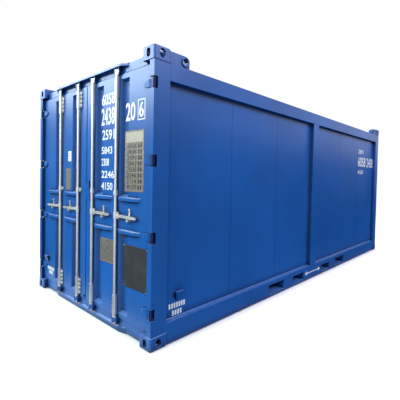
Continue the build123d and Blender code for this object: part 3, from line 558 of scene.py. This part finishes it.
class CONTAINER_OT_steelwork(bpy.types.Operator):
    """Give every CAD piece its finish and break its sharp edges"""

    bl_idname = "container.steelwork"
    bl_label = "Steelwork"

    def execute(self, context):
        by_slot = {
            "blue_enamel": finish_of(enamel_paint),
            "galvanised_steel": finish_of(galvanised_steel),
            "floor_plywood": finish_of(floor_plywood),
        }
        special = self.special_finishes(context.scene.container_colours)
        radius = context.scene.container_sizes.edge_radius
        for name, node in frame["nodes"].items():
            node.data.materials.clear()
            node.data.materials.append(special.get(name, by_slot[SLOTS[name]]))
            self.break_edges(node, radius)
        return {"FINISHED"}

    def special_finishes(self, colours):
        """Finishes of the pieces that are worn, oversprayed, or dark with painted shade at the knuckles, by node.
        """
        rods = [JOINT_PLACES[f"{side}_{place}_rod_turn"].x for side, _ in SIDES for place in ROD_PLACES]
        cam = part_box("right_inner_lock_rod")[0].z + CAM_PAINT
        sprayed_cams = oversprayed_zinc(colours, "cams oversprayed", 2, cam, cam + CAM_PAINT_FADE)
        ear = SKIN_FACE - EAR_THICK
        sprayed_ears = oversprayed_zinc(colours, "ears oversprayed", 1, ear - EAR_PAINT, ear - EAR_BARE)
        # Hinge pins and right hinge blades take a painted shade beyond the leaf's edge
        knuckle_shaded = knuckle_shaded_enamel(colours, LEAF_EDGE)
        special = {
            "sill_plate": worn_enamel(colours, rods),
            "hinge_pins": knuckle_shaded,
            "right_hinge_blades": knuckle_shaded,
        }
        for side, _ in SIDES:
            special.update({f"{side}_{place}_lock_rod": sprayed_cams for place in ROD_PLACES})
            special[f"{side}_rod_brackets"] = sprayed_ears
        return special

    def break_edges(self, node, radius):
        """Round the edges that a press, saw or torch leaves."""
        join = node.modifiers.new("Join", "WELD")
        join.merge_threshold = JOIN_REACH
        edges = node.modifiers.new("Edges", "BEVEL")
        edges.width = radius
        edges.segments = 2
        edges.limit_method = "ANGLE"
        edges.angle_limit = SHARP_ANGLE
        shade = node.modifiers.new("Shade", "WEIGHTED_NORMAL")
        shade.keep_sharp = True


LEDGE_WELD = 5 * MM
FLANGE_WIDE = 62 * MM
GUARD_OFFSET = 12 * MM
GUARD_LONG = 365 * MM
GUARD_TALL = 30 * MM


class CONTAINER_OT_welds(bpy.types.Operator):
    """Lay the weld runs of the frame and the seams of the side sheets"""

    bl_idname = "container.welds"
    bl_label = "Welds"

    def execute(self, context):
        sizes = context.scene.container_sizes
        for name, side in SIDES:
            bm = bmesh.new()
            self.side_bays(bm, side, sizes.weld_leg)
            make_piece(f"{name}_side_welds", bm, enamel_paint, "frame", smooth=True)
            bm = bmesh.new()
            self.sheet_seams(bm, side, sizes.seam_width)
            make_piece(f"{name}_sheet_seams", bm, seam_paint, "frame", smooth=True)
        bm = bmesh.new()
        self.rear_bay(bm, sizes.weld_leg)
        make_piece("rear_welds", bm, enamel_paint, "frame", smooth=True)
        bm = bmesh.new()
        self.end_beams(bm, sizes.weld_leg)
        self.post_ends(bm, LEDGE_WELD)
        make_piece("frame_welds", bm, enamel_paint, "frame", smooth=True)
        for name, side in SIDES:
            bm = bmesh.new()
            self.guards(bm, name, side, LEDGE_WELD)
            make_piece(f"{name}_door_welds", bm, enamel_paint, f"{name}_door", smooth=True)
        return {"FINISHED"}

    def around_bay(self, bm, corners, out, inward, leg):
        """Fillets along the four edges of a sheet."""
        for i, direction in enumerate(inward):
            fillet(bm, corners[i], corners[(i + 1) % 4], out, direction, leg)

    def side_bays(self, bm, side, leg):
        """Fillets round the sheet in the two bays of one side."""
        face = side * PANEL_FACE
        for near, far in ((POST_HIGH.y, MID_LOW.y), (MID_HIGH.y, -POST_HIGH.y)):
            around = ((near, SHEET_FOOT), (far, SHEET_FOOT), (far, SHEET_HEAD), (near, SHEET_HEAD))
            corners = [Vector((face, y, z)) for y, z in around]
            self.around_bay(bm, corners, side * X, (Z, -Y, -Z, Y), leg)

    def sheet_seams(self, bm, side, width):
        """Ground butt welds between the sheets, two in each bay."""
        bay = -POST_HIGH.y - MID_HIGH.y
        edge, out = width / 2 * Y, side * width * X
        section = [-edge, SEAM_PROUD * out, edge, -SEAM_SUNK * out]
        for end in (-1, 1):
            for share in (1, 2):
                y = end * (MID_HIGH.y + bay * share / 3)
                foot = Vector((side * PANEL_FACE, y, SHEET_FOOT))
                bead(bm, foot, foot + (SHEET_HEAD - SHEET_FOOT) * Z, section)

    def rear_bay(self, bm, leg):
        """Fillets round the sheet of the closed end."""
        half = REAR_HIGH.x
        around = ((-half, SHEET_FOOT), (half, SHEET_FOOT), (half, SHEET_HEAD), (-half, SHEET_HEAD))
        corners = [Vector((x, REAR_HIGH.y, z)) for x, z in around]
        self.around_bay(bm, corners, Y, (Z, -X, -Z, X), leg)

    def end_beams(self, bm, leg):
        """Fillets over the eave and sill plates, and under the eave plate."""
        eave_low, eave_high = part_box("eave_plate")
        sill_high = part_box("sill_plate")[1]
        for beam, end, z, out in (
            (HEADER_FRONT, eave_high.x, eave_high.z, Z), (HEADER_FRONT, eave_high.x, eave_low.z, -Z),
            (SILL_FRONT, sill_high.x, sill_high.z, Z),
        ):
            fillet(bm, Vector((-end, beam, z)), Vector((end, beam, z)), -Y, out, leg)

    def post_ends(self, bm, leg):
        """Fillets on the ledges where the posts stand back from the castings."""
        for _, side in SIDES:
            for z, out in ((POST_LOW.z, Z), (POST_HIGH.z, -Z)):
                corner = Vector((side * RAIL_FACE, POST_LOW.y, z))
                inner = corner - side * FLANGE_WIDE * X
                back = corner + (POST_HIGH.y - POST_LOW.y) * Y
                fillet(bm, inner, corner, -Y, out, leg)
                fillet(bm, corner, back, side * X, out, leg)

    def guards(self, bm, name, side, leg):
        """Fillets along the guards over and under the handles of one leaf."""
        low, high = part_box(f"{name}_handle_guards")
        for place in ROD_PLACES:
            start = JOINT_PLACES[f"{name}_{place}_rod_turn"].x + side * GUARD_OFFSET
            for z, out in ((low.z, -Z), (low.z + GUARD_TALL, Z), (high.z - GUARD_TALL, -Z), (high.z, Z)):
                near = Vector((start, SKIN_FACE, z))
                fillet(bm, near, near + side * GUARD_LONG * X, -Y, out, leg)


SEAL_SET_BACK = 6 * MM
SEAL_SUNK = 0.5 * MM
SEAL_GAP = 5.0 * MM
SEAL_MEETING_GAP = 6.0 * MM
SEAL_CLEAR = 0.3 * MM
SEAL_RIBS = 3
# One rib of the seal as shares of its reach and of the whole depth
SEAL_RIB = ((0.7, 0.04), (1.0, 0.1), (1.0, 0.16), (0.45, 0.28))


class CONTAINER_OT_seals(bpy.types.Operator):
    """Fit the rubber seal round each door leaf"""

    bl_idname = "container.seals"
    bl_label = "Door seals"

    def execute(self, context):
        for name, side in SIDES:
            bm = bmesh.new()
            self.ring(bm, side, *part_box("right_door_frame"))
            make_piece(f"{name}_door_seal_lip", bm, seal_rubber, f"{name}_door", smooth=True)
        return {"FINISHED"}

    def ring(self, bm, side, low, high):
        """Ribbed section swept round the leaf's edge, closed on itself."""
        front = SKIN_FACE + SEAL_SET_BACK
        reach = SEAL_GAP - SEAL_CLEAR
        depth = high.y - front
        section = [(-SEAL_SUNK, 0.0)]
        for i in range(SEAL_RIBS):
            section += [(out * reach, depth * (i / SEAL_RIBS + along)) for out, along in SEAL_RIB]
        section += [(-SEAL_SUNK, depth)]
        meeting = (SEAL_MEETING_GAP - SEAL_CLEAR) / reach
        rings = []
        for x, z, sx, sz in (
            (low.x, low.z, -meeting, -1), (high.x, low.z, 1, -1),
            (high.x, high.z, 1, 1), (low.x, high.z, -meeting, 1),
        ):
            rings.append([
                bm.verts.new((side * (x + sx * out), front + along, z + sz * out)) for out, along in section
            ])
        count = len(section)
        for i in range(4):
            near, far = rings[i], rings[(i + 1) % 4]
            for j in range(count):
                k = (j + 1) % count
                bm.faces.new((near[j], far[j], far[k], near[k]))


EAR_MIDDLE = 37 * MM
BRACKET_HALF = 98.5 * MM
LONG_EAR_BOLTS = (-67 * MM, -22 * MM, 22 * MM, 67 * MM)
SHORT_EAR_RISE = 215 * MM
PLUG_PLACE = (-30 * MM, 165 * MM)
PLUG_DOME = ((15 * MM, 0.0), (15 * MM, 3 * MM), (11 * MM, 7 * MM), (4 * MM, 8 * MM))


class CONTAINER_OT_fasteners(bpy.types.Operator):
    """Bolt the rod brackets to the doors and plug the drain hole"""

    bl_idname = "container.fasteners"
    bl_label = "Fasteners"

    def execute(self, context):
        across = context.scene.container_sizes.bolt_across
        for name, side in SIDES:
            bm = bmesh.new()
            low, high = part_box(f"{name}_rod_brackets")
            for place in ROD_PLACES:
                ear = JOINT_PLACES[f"{name}_{place}_rod_turn"].x - side * EAR_MIDDLE
                heights = [JOINT_PLACES[f"{name}_{place}_handle_lift"].z + SHORT_EAR_RISE]
                for middle in (low.z + BRACKET_HALF, high.z - BRACKET_HALF):
                    heights += [middle + step for step in LONG_EAR_BOLTS]
                for z in heights:
                    hex_bolt(bm, door_place(ear, z, EAR_THICK), across)
            make_piece(f"{name}_bracket_bolts", bm, galvanised_steel, f"{name}_door")
        plug = bmesh.new()
        lathe(plug, door_place(*PLUG_PLACE), PLUG_DOME, 20)
        make_piece("left_door_drain_plug", plug, seal_rubber, "left_door", smooth=True)
        return {"FINISHED"}


# Plates on the doors: middle across and up, width and height
DATA_PLATE = (893 * MM, 1628 * MM, 294 * MM, 556 * MM)
RIGHT_RULED_PLATE = (434 * MM, 744 * MM, 250 * MM, 240 * MM)
LEFT_RULED_PLATE = (-443 * MM, 1443 * MM, 127 * MM, 250 * MM)
DARK_BOARD = (925 * MM, 660 * MM, 365 * MM, 393 * MM)
LABEL = (-412 * MM, 1710 * MM, 77 * MM, 119 * MM)
PLATE_CORNER = 6 * MM
BOARD_CORNER = 8 * MM
LABEL_CORNER = 4 * MM
LABEL_ROWS = 4
LABEL_PITCH = 20 * MM
LABEL_LINE = (56 * MM, 5 * MM)
RIVET_INSET = 10 * MM
RIVET_RADIUS = 4 * MM
INK_FILM = 0.4 * MM
NUMERAL_FILM = 0.2 * MM
RULED_ROWS = 9
RULED_SHARE = 0.72
RULED_MARGIN = 36 * MM
RULED_LINE = 2.4 * MM
HEAD_TALL = 96 * MM
HEAD_DROP = 14 * MM
HEAD_MARGIN = 34 * MM
HEAD_CORNER = 4 * MM
HEAD_LINE_MARGIN = 30 * MM
HEAD_LINE = 3 * MM
FIGURES_DROP = 4 * MM
FIGURES_MARGIN = 34 * MM
# Figures and blank bars of the data plate, as shares of its width and of a row's pitch
FIGURE_SHIFT, FIGURE_WIDE, FIGURE_TALL = -0.13, 0.5, 0.8
BLANK_SHIFTS, BLANK_WIDE, BLANK_TALL = (0.24, 0.36), 0.08, 0.74


class CONTAINER_OT_plates(bpy.types.Operator):
    """Rivet the plates to the doors"""

    bl_idname = "container.plates"
    bl_label = "Plates"

    def execute(self, context):
        thick = context.scene.container_sizes.plate_thick
        metal, ink, field = bmesh.new(), bmesh.new(), bmesh.new()
        self.data_plate(metal, ink, field, *DATA_PLATE, thick)
        self.ruled_plate(metal, ink, *RIGHT_RULED_PLATE, thick)
        make_piece("right_door_plates", metal, etched_plate, "right_door")
        make_piece("right_door_plate_lines", ink, plate_ink, "right_door")
        make_piece("right_door_plate_field", field, plate_field, "right_door")
        board, rivets = bmesh.new(), bmesh.new()
        self.riveted(board, rivets, *DARK_BOARD, thick, BOARD_CORNER)
        make_piece("right_door_dark_board", board, dark_board, "right_door")
        make_piece("right_door_board_rivets", rivets, galvanised_steel, "right_door")
        metal, ink, label = bmesh.new(), bmesh.new(), bmesh.new()
        self.ruled_plate(metal, ink, *LEFT_RULED_PLATE, thick)
        self.ruled_label(label, ink, *LABEL, thick / 4)
        make_piece("left_door_plate", metal, etched_plate, "left_door")
        make_piece("left_door_plate_lines", ink, plate_ink, "left_door")
        make_piece("left_door_label", label, stencil_paint, "left_door")
        return {"FINISHED"}

    def riveted(self, sheet, rivets, x, z, width, height, thick, corner):
        """Plate with a rivet in each corner."""
        plate(sheet, door_place(x, z), width, height, thick, corner)
        for sx in (-1, 1):
            for sz in (-1, 1):
                off_x, off_z = sx * (width / 2 - RIVET_INSET), sz * (height / 2 - RIVET_INSET)
                rivet(rivets, door_place(x + off_x, z + off_z, thick), RIVET_RADIUS)

    def line(self, ink, x, z, width, height, depth):
        """Raised line of enamel."""
        plate(ink, door_place(x, z, depth), width, height, INK_FILM, min(width, height) * 0.3)

    def ruled_plate(self, metal, ink, x, z, width, height, thick):
        """Plate with blank ruled rows."""
        self.riveted(metal, metal, x, z, width, height, thick, PLATE_CORNER)
        for i in range(RULED_ROWS):
            level = z + RULED_SHARE * height * (0.5 - i / (RULED_ROWS - 1))
            self.line(ink, x, level, width - RULED_MARGIN, RULED_LINE, thick)

    def ruled_label(self, label, ink, x, z, width, height, thick):
        """Thin label with blank lines."""
        plate(label, door_place(x, z), width, height, thick, LABEL_CORNER)
        for i in range(LABEL_ROWS):
            self.line(ink, x, z + LABEL_PITCH * (i - (LABEL_ROWS - 1) / 2), *LABEL_LINE, thick)

    def data_plate(self, metal, ink, field, x, z, width, height, thick):
        """Tall plate: a bare head over rows of the box's own sizes, each with two blank bars beside it."""
        self.riveted(metal, metal, x, z, width, height, thick, PLATE_CORNER)
        top = z + height / 2 - HEAD_DROP
        foot = top - HEAD_TALL
        head = door_place(x, (top + foot) / 2, thick)
        plate(field, head, width - HEAD_MARGIN, HEAD_TALL, INK_FILM, HEAD_CORNER)
        for level in (top, foot):
            self.line(ink, x, level, width - HEAD_LINE_MARGIN, HEAD_LINE, thick)
        figures = own_sizes()
        pitch = (height - HEAD_TALL - FIGURES_MARGIN) / len(figures)
        for i, figure in enumerate(figures):
            level = foot - FIGURES_DROP - pitch * (i + 0.5)
            row = door_place(x + FIGURE_SHIFT * width, level, thick + NUMERAL_FILM)
            stencil_row(ink, figure, row, FIGURE_WIDE * width, FIGURE_TALL * pitch, NUMERAL_FILM)
            for shift in BLANK_SHIFTS:
                self.line(ink, x + shift * width, level, BLANK_WIDE * width, BLANK_TALL * pitch, thick)


STENCIL_BOLD = 0.014


def own_sizes():
    """Outside and inside sizes and the door opening's width in mm, then the mass in kg, as text."""
    low, high = CAD_BOX
    roof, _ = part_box("roof")
    lengths = [
        high.y - low.y, high.x - low.x, high.z - low.z,
        FLOOR_HIGH.y - FLOOR_LOW.y, FLOOR_HIGH.x - FLOOR_LOW.x, roof.z - FLOOR_HIGH.z,
        2 * POST_LOW.x,
    ]
    mass = frame["record"]["physics"]["mass_kg"]
    return [f"{round(number)}" for number in (*(length / MM for length in lengths), mass)]


def stencil_row(bm, text, place, width, height, film):
    """Row of plain numerals standing on a wall, centred on its place and fitted to a width and height."""
    curve = bpy.data.curves.new("numerals", "FONT")
    curve.body = text
    curve.align_x = "CENTER"
    curve.align_y = "CENTER"
    curve.offset = STENCIL_BOLD
    curve.resolution_u = 3
    curve.extrude = film
    holder = bpy.data.objects.new("numerals", curve)
    bpy.context.scene.collection.objects.link(holder)
    bpy.context.view_layer.update()
    mesh = bpy.data.meshes.new_from_object(holder.evaluated_get(bpy.context.evaluated_depsgraph_get()))
    bpy.data.objects.remove(holder)
    across = [v.co.x for v in mesh.vertices]
    up = [v.co.y for v in mesh.vertices]
    centre = Vector(((min(across) + max(across)) / 2, (min(up) + max(up)) / 2, 0.0))
    fit = Matrix.Diagonal((width / (max(across) - min(across)), height / (max(up) - min(up)), 1.0, 1.0))
    mesh.transform(place @ fit @ Matrix.Translation(-centre))
    bm.from_mesh(mesh)
    bpy.data.meshes.remove(mesh)


# Rows of numerals, with a place for each of the box's own sizes: middle along and up, width, height in mm
DOOR_ROWS = (
    ("{0}", 436, 2251, 240, 112),
    ("{1}", 432, 2081, 250, 172),
    ("{2}", 440, 1899, 228, 100),
    ("{3}", 418, 1745, 200, 74),
    ("{4}", 389, 1627, 142, 74),
    ("{5}", 438, 1505, 240, 74),
    ("{7}", 423, 1387, 210, 74),
    ("20", 826, 2080, 149, 168),
)
BOXED_NUMERAL = ("6", 994, 2082, 110, 183)
BOX_FILL = (0.6, 0.74)
BOX_RULE = 9 * MM
BOX_CORNER = 1 * MM
SIDE_ROWS = (("{2}", 2110, 2060, 286, 82), ("{0} {1}", 2424, 1862, 915, 190), ("{7}", 2110, 1660, 286, 82))
# Rows of bars by the lugs: middle along and up, width, height in mm, and how many bars
DOOR_BARS = ((-930, 287, 203, 42, 7), (-930, 237, 118, 42, 4))
SIDE_BARS = ((-2683, 312, 208, 48, 7), (-2683, 244, 126, 48, 4))
BAR_SHARE = 0.66
BAR_CORNER = 3 * MM
ARROW_HALF = 250 * MM
ARROW_HEAD = 70 * MM
ARROW_HEAD_HALF = 32 * MM
ARROW_SHAFT = 14 * MM
ARROW_CORNER = 2 * MM


class CONTAINER_OT_marks(bpy.types.Operator):
    """Stencil plain numbers of the box's own sizes, and the marks by the lugs"""

    bl_idname = "container.marks"
    bl_label = "Stencilled marks"

    def execute(self, context):
        film = context.scene.container_sizes.stencil_film
        bm = bmesh.new()
        self.numerals(bm, DOOR_ROWS, door_place, film)
        self.boxed(bm, BOXED_NUMERAL, film)
        make_piece("right_door_marks", bm, stencil_paint, "right_door")
        bm = bmesh.new()
        self.bars(bm, DOOR_BARS, door_place, film)
        make_piece("left_door_marks", bm, stencil_paint, "left_door")
        bm = bmesh.new()
        self.numerals(bm, SIDE_ROWS, side_place, film)
        self.bars(bm, SIDE_BARS, side_place, film)
        self.centre_arrow(bm, film)
        make_piece("side_marks", bm, stencil_paint, "frame")
        return {"FINISHED"}

    def numerals(self, bm, rows, place_on, film):
        """Rows of numerals on a wall."""
        for text, *sizes in rows:
            along, up, width, height = (size * MM for size in sizes)
            row = place_on(along, up, film / 2)
            stencil_row(bm, text.format(*own_sizes()), row, width, height, film / 2)

    def bars(self, bm, rows, place_on, film):
        """Rows of plain upright bars on a wall."""
        for *sizes, count in rows:
            along, up, width, height = (size * MM for size in sizes)
            step = width / count
            for i in range(count):
                bar = place_on(along + step * (i + 0.5) - width / 2, up)
                plate(bm, bar, BAR_SHARE * step, height, film, BAR_CORNER)

    def boxed(self, bm, numeral, film):
        """A numeral in a ruled box on the right door."""
        text, *sizes = numeral
        x, z, width, height = (size * MM for size in sizes)
        wide, tall = BOX_FILL
        stencil_row(bm, text, door_place(x, z, film / 2), wide * width, tall * height, film / 2)
        for sign in (-1, 1):
            upright = door_place(x + sign * (width - BOX_RULE) / 2, z)
            plate(bm, upright, BOX_RULE, height, film, BOX_CORNER)
            level = door_place(x, z + sign * (height - BOX_RULE) / 2)
            plate(bm, level, width - 2 * BOX_RULE, BOX_RULE, film, BOX_CORNER)

    def centre_arrow(self, bm, film):
        """Line with a head at each end, on the rail under the middle post."""
        place = face_place(Vector((RAIL_FACE, 0.0, (RAIL_LOW.z + RAIL_HIGH.z) / 2)), Y, Z)
        neck = ARROW_HALF - ARROW_HEAD
        plate(bm, place, 2 * neck, ARROW_SHAFT, film, ARROW_CORNER)
        for sign in (-1, 1):
            points = [(ARROW_HALF, 0.0), (neck, ARROW_HEAD_HALF), (neck, -ARROW_HEAD_HALF)]
            loft(bm, place, [[(sign * x, y, h) for x, y in points] for h in (0.0, film)])


BOARD_GAP = 2 * MM
BOARD_EDGE = 1.5 * MM
BOARD_BREAK = 900 * MM
SCREW_ROWS = 14
SCREW_SHARES = (0.2, 0.8)
SCREW_SUNK = 0.6 * MM
SCREW_HEAD = ((7 * MM, 0.0), (6.4 * MM, 0.9 * MM), (3 * MM, 0.4 * MM))


class CONTAINER_OT_floor(bpy.types.Operator):
    """Lay the floor boards and their screws"""

    bl_idname = "container.floor"
    bl_label = "Floor boards"

    def execute(self, context):
        wanted = context.scene.container_sizes.board_wide
        front, rear = POST_HIGH.y, -POST_HIGH.y
        columns = round((FLOOR_HIGH.x - FLOOR_LOW.x) / wanted)
        wide = (FLOOR_HIGH.x - FLOOR_LOW.x) / columns
        boards = bmesh.new()
        for i in range(columns):
            left = FLOOR_LOW.x + wide * i
            middle = BOARD_BREAK if i % 2 else -BOARD_BREAK
            for near, far in ((front, middle), (middle, rear)):
                self.board(boards, (left, left + wide), (near, far))
        for near, far in ((FLOOR_LOW.y, front), (rear, FLOOR_HIGH.y)):
            self.board(boards, (-POST_LOW.x, POST_LOW.x), (near, far))
        piece = make_piece("floor_boards", boards, floor_plywood, "frame")
        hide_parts("floor")
        screws = bmesh.new()
        for row in range(SCREW_ROWS):
            y = front + (rear - front) * (row + 0.5) / SCREW_ROWS
            for i in range(columns):
                for share in SCREW_SHARES:
                    middle = (FLOOR_LOW.x + wide * (i + share), y, FLOOR_HIGH.z - SCREW_SUNK)
                    lathe(screws, Matrix.Translation(middle), SCREW_HEAD, 10)
        make_piece("floor_screws", screws, galvanised_steel, "frame")
        return {"FINISHED"}

    def board(self, bm, x, y):
        """One board with broken top edges."""
        gap = BOARD_GAP / 2
        loops = []
        top = FLOOR_HIGH.z
        for inset, z in ((gap, FLOOR_LOW.z), (gap, top - BOARD_EDGE), (gap + BOARD_EDGE, top)):
            low_x, high_x, low_y, high_y = x[0] + inset, x[1] - inset, y[0] + inset, y[1] - inset
            loops.append([(low_x, low_y, z), (high_x, low_y, z), (high_x, high_y, z), (low_x, high_y, z)])
        loft(bm, Matrix.Identity(4), loops)


# The stage, in metres and watts
CAMERA_PLACE = (3.43478, -4.70963, 1.49425)
CAMERA_YAW = math.radians(42.397)
CAMERA_PITCH = math.radians(1.535)
CAMERA_ROLL = math.radians(1.152)
CAMERA_LENS = 29.72
CAMERA_SENSOR = 36.0
CAMERA_REACH = 200.0
CAMERA_SHIFT = (-0.0329, -0.0340)
WHITE = (1.0, 1.0, 1.0, 1.0)
WORLD_LIGHT = 0.34
PAPER_RADIUS = 60.0
PAPER_SIDES = 64
PAPER_DROP = 1 * MM
PAPER_LIFT = 0.45
# Band in metres past the box over which the floor's lift comes in; the darker band is a painted contact shadow
LIFT_EDGE = (-0.05, 0.1)
FADE_OUT = (4.0, 11.0)
# Lamps: name, place, target, width and height, power, colour
LAMPS = (
    ("Left softbox", (-6.6, -8.2, 6.5), (0.0, -3.0, 1.8), (8.0, 5.0), 1150.0, "#EEFDFA"),
    ("Front softbox", (1.5, -13.0, 7.0), (0.0, -3.0, 1.2), (6.0, 4.0), 850.0, "#F4FDFC"),
    ("Right softbox", (10.0, 2.0, 9.0), (1.2, 0.0, 1.4), (8.0, 4.0), 1060.0, "#EAE7FF"),
    ("Rear softbox", (-6.0, 12.0, 7.0), (0.0, 3.0, 1.3), (6.0, 4.0), 600.0, "#F2F7FF"),
)
# Black cloths: name, corners
FLAGS = (
    ("right_flag", ((5.0, -3.0, 0.0), (5.0, 22.0, 0.0), (5.0, 22.0, 2.8), (5.0, -3.0, 2.8))),
    ("right_ground_flag", ((1.25, -3.0, 0.002), (5.0, -3.0, 0.002), (5.0, 22.0, 0.002), (1.25, 22.0, 0.002))),
    ("left_flag", ((-18.0, -8.0, 0.0), (-3.0, -8.0, 0.0), (-3.0, -8.0, 4.0), (-18.0, -8.0, 4.6))),
    ("left_ground_flag",
     ((-18.0, -8.0, 0.002), (1.5, -8.0, 0.002), (1.5, -3.3, 0.002), (-18.0, -3.3, 0.002))),
)


class CONTAINER_OT_stage(bpy.types.Operator):
    """Set the floor, lamps, white surroundings and camera"""

    bl_idname = "container.stage"
    bl_label = "Stage"

    def execute(self, context):
        scene = context.scene
        scene.view_settings.view_transform = "Standard"
        turns = [2 * math.pi * i / PAPER_SIDES for i in range(PAPER_SIDES)]
        rim = [(PAPER_RADIUS * math.cos(t), PAPER_RADIUS * math.sin(t), -PAPER_DROP) for t in turns]
        self.sheet(scene, "studio_floor", rim, self.floor_paper())
        self.surroundings(scene)
        for lamp in LAMPS:
            self.softbox(scene, *lamp)
        velvet = self.black_velvet()
        for name, corners in FLAGS:
            cloth = self.sheet(scene, name, corners, velvet)
            for ray in ("camera", "diffuse", "transmission", "volume_scatter", "shadow"):
                setattr(cloth, f"visible_{ray}", False)
        self.camera(scene)
        return {"FINISHED"}

    def sheet(self, scene, name, corners, material):
        """Flat sheet that belongs to the stage."""
        mesh = bpy.data.meshes.new(name)
        mesh.from_pydata(corners, [], [range(len(corners))])
        mesh.materials.append(material)
        sheet = bpy.data.objects.new(name, mesh)
        scene.collection.objects.link(sheet)
        return sheet

    def floor_paper(self):
        """Seamless paper, matt: white with the shadow on it, throwing back no more light than a grey yard.

        It melts into white far away, and the lens sees it lifted all round the box, but not under it. The
        lift comes in over a band from 5 cm inside to 10 cm past the box's edge, a painted contact shadow.
        """
        material, tree, place = blank_finish("Seamless paper, matt")
        rays = add(tree, "ShaderNodeLightPath")
        seen = rays.outputs["Is Camera Ray"]
        where = add(tree, "ShaderNodeSeparateXYZ", {0: place})
        beyond = []
        for axis, half in ((0, CAD_BOX[1].x), (1, CAD_BOX[1].y)):
            off = add(tree, "ShaderNodeMath", {0: where.outputs[axis]}, operation="ABSOLUTE")
            past = add(tree, "ShaderNodeMath", {0: off, 1: half}, operation="SUBTRACT")
            beyond.append(past)
        outside = add(tree, "ShaderNodeMath", {0: beyond[0], 1: beyond[1]}, operation="MAXIMUM")
        # Painted contact shadow: the lift is held back under the box and comes in just past its foot
        edge = {0: outside, 1: LIFT_EDGE[0], 2: LIFT_EDGE[1], 3: 0.0, 4: PAPER_LIFT}
        clear = add(tree, "ShaderNodeMapRange", edge)
        lift = add(tree, "ShaderNodeMath", {0: seen, 1: clear}, operation="MULTIPLY")
        distance = add(tree, "ShaderNodeVectorMath", {0: place}, operation="LENGTH")
        fade = add(tree, "ShaderNodeMapRange", {0: distance.outputs["Value"], 1: FADE_OUT[0], 2: FADE_OUT[1]})
        share = add(tree, "ShaderNodeMath", {0: seen, 1: fade}, operation="MULTIPLY")
        tone = add(
            tree, "ShaderNodeMix",
            {0: rays.outputs["Is Diffuse Ray"], 6: srgb("#F4F5F6"), 7: srgb("#8C9098")}, data_type="RGBA",
        )
        paper = add(tree, "ShaderNodeBsdfDiffuse", {"Color": tone.outputs[2]})
        glow = add(tree, "ShaderNodeEmission", {"Color": WHITE, "Strength": lift})
        near = add(tree, "ShaderNodeAddShader", {0: paper, 1: glow})
        white = add(tree, "ShaderNodeEmission", {"Color": WHITE, "Strength": 1.0})
        finish_with(tree, add(tree, "ShaderNodeMixShader", {0: share, 1: near, 2: white}))
        return material

    def black_velvet(self):
        """Black cloth that only reflections see, so that the enamel keeps the depth a dark yard gives it."""
        material, tree, _ = blank_finish("Black velvet")
        finish_with(tree, add(tree, "ShaderNodeBsdfDiffuse", {"Color": srgb("#0B0D12")}))
        return material

    def surroundings(self, scene):
        """White for the lens and for reflections, plain soft light for the rest."""
        world = bpy.data.worlds.new("White studio")
        world.use_nodes = True
        tree = world.node_tree
        tree.nodes.clear()
        rays = add(tree, "ShaderNodeLightPath").outputs
        seen = rays["Is Camera Ray"]
        for ray in ("Is Glossy Ray", "Is Transmission Ray"):
            seen = add(tree, "ShaderNodeMath", {0: seen, 1: rays[ray]}, operation="MAXIMUM")
        strength = add(tree, "ShaderNodeMapRange", {0: seen, 3: WORLD_LIGHT, 4: 1.0})
        sky = add(tree, "ShaderNodeBackground", {"Color": WHITE, "Strength": strength})
        add(tree, "ShaderNodeOutputWorld", {"Surface": sky})
        scene.world = world

    def softbox(self, scene, name, place, target, size, power, colour):
        """Rectangular lamp turned to its target."""
        lamp = bpy.data.lights.new(name, "AREA")
        lamp.color = srgb(colour)[:3]
        lamp.shape = "RECTANGLE"
        lamp.size, lamp.size_y = size
        lamp.energy = power
        holder = bpy.data.objects.new(name, lamp)
        holder.location = place
        holder.rotation_mode = "QUATERNION"
        holder.rotation_quaternion = (Vector(target) - Vector(place)).to_track_quat("-Z", "Y")
        scene.collection.objects.link(holder)

    def camera(self, scene):
        """The photograph's viewpoint."""
        lens = bpy.data.cameras.new("Viewpoint")
        lens.sensor_width = CAMERA_SENSOR
        lens.lens = CAMERA_LENS
        lens.shift_x, lens.shift_y = CAMERA_SHIFT
        lens.clip_end = CAMERA_REACH
        level = Matrix.Rotation(CAMERA_YAW, 4, "Z") @ Matrix.Rotation(math.pi / 2 - CAMERA_PITCH, 4, "X")
        camera = bpy.data.objects.new("Viewpoint", lens)
        turned = level @ Matrix.Rotation(CAMERA_ROLL, 4, "Z")
        camera.matrix_world = Matrix.Translation(CAMERA_PLACE) @ turned
        scene.collection.objects.link(camera)
        scene.camera = camera


OPERATORS = (
    CONTAINER_OT_steelwork,
    CONTAINER_OT_welds,
    CONTAINER_OT_seals,
    CONTAINER_OT_fasteners,
    CONTAINER_OT_plates,
    CONTAINER_OT_marks,
    CONTAINER_OT_floor,
    CONTAINER_OT_stage,
)


class CONTAINER_PT_sidebar(bpy.types.Panel):
    """Steps that dress the container"""

    bl_idname = "CONTAINER_PT_sidebar"
    bl_label = "Freight container"
    bl_space_type = "VIEW_3D"
    bl_region_type = "UI"
    bl_category = "Container"

    def draw(self, context):
        layout = self.layout
        for group in (context.scene.container_sizes, context.scene.container_colours):
            for name in group.__annotations__:
                layout.prop(group, name)
        for step in OPERATORS:
            layout.operator(step.bl_idname)


CLASSES = (ContainerSizes, ContainerColours, *OPERATORS, CONTAINER_PT_sidebar)


def register():
    for kind in CLASSES:
        bpy.utils.register_class(kind)
    bpy.types.Scene.container_sizes = bpy.props.PointerProperty(type=ContainerSizes)
    bpy.types.Scene.container_colours = bpy.props.PointerProperty(type=ContainerColours)


def unregister():
    del bpy.types.Scene.container_sizes
    del bpy.types.Scene.container_colours
    for kind in reversed(CLASSES):
        bpy.utils.unregister_class(kind)


def main():
    register()
    bpy.ops.container.steelwork()
    bpy.ops.container.welds()
    bpy.ops.container.seals()
    bpy.ops.container.fasteners()
    bpy.ops.container.plates()
    bpy.ops.container.marks()
    bpy.ops.container.floor()
    bpy.ops.container.stage()


if __name__ == "__main__":
    main()
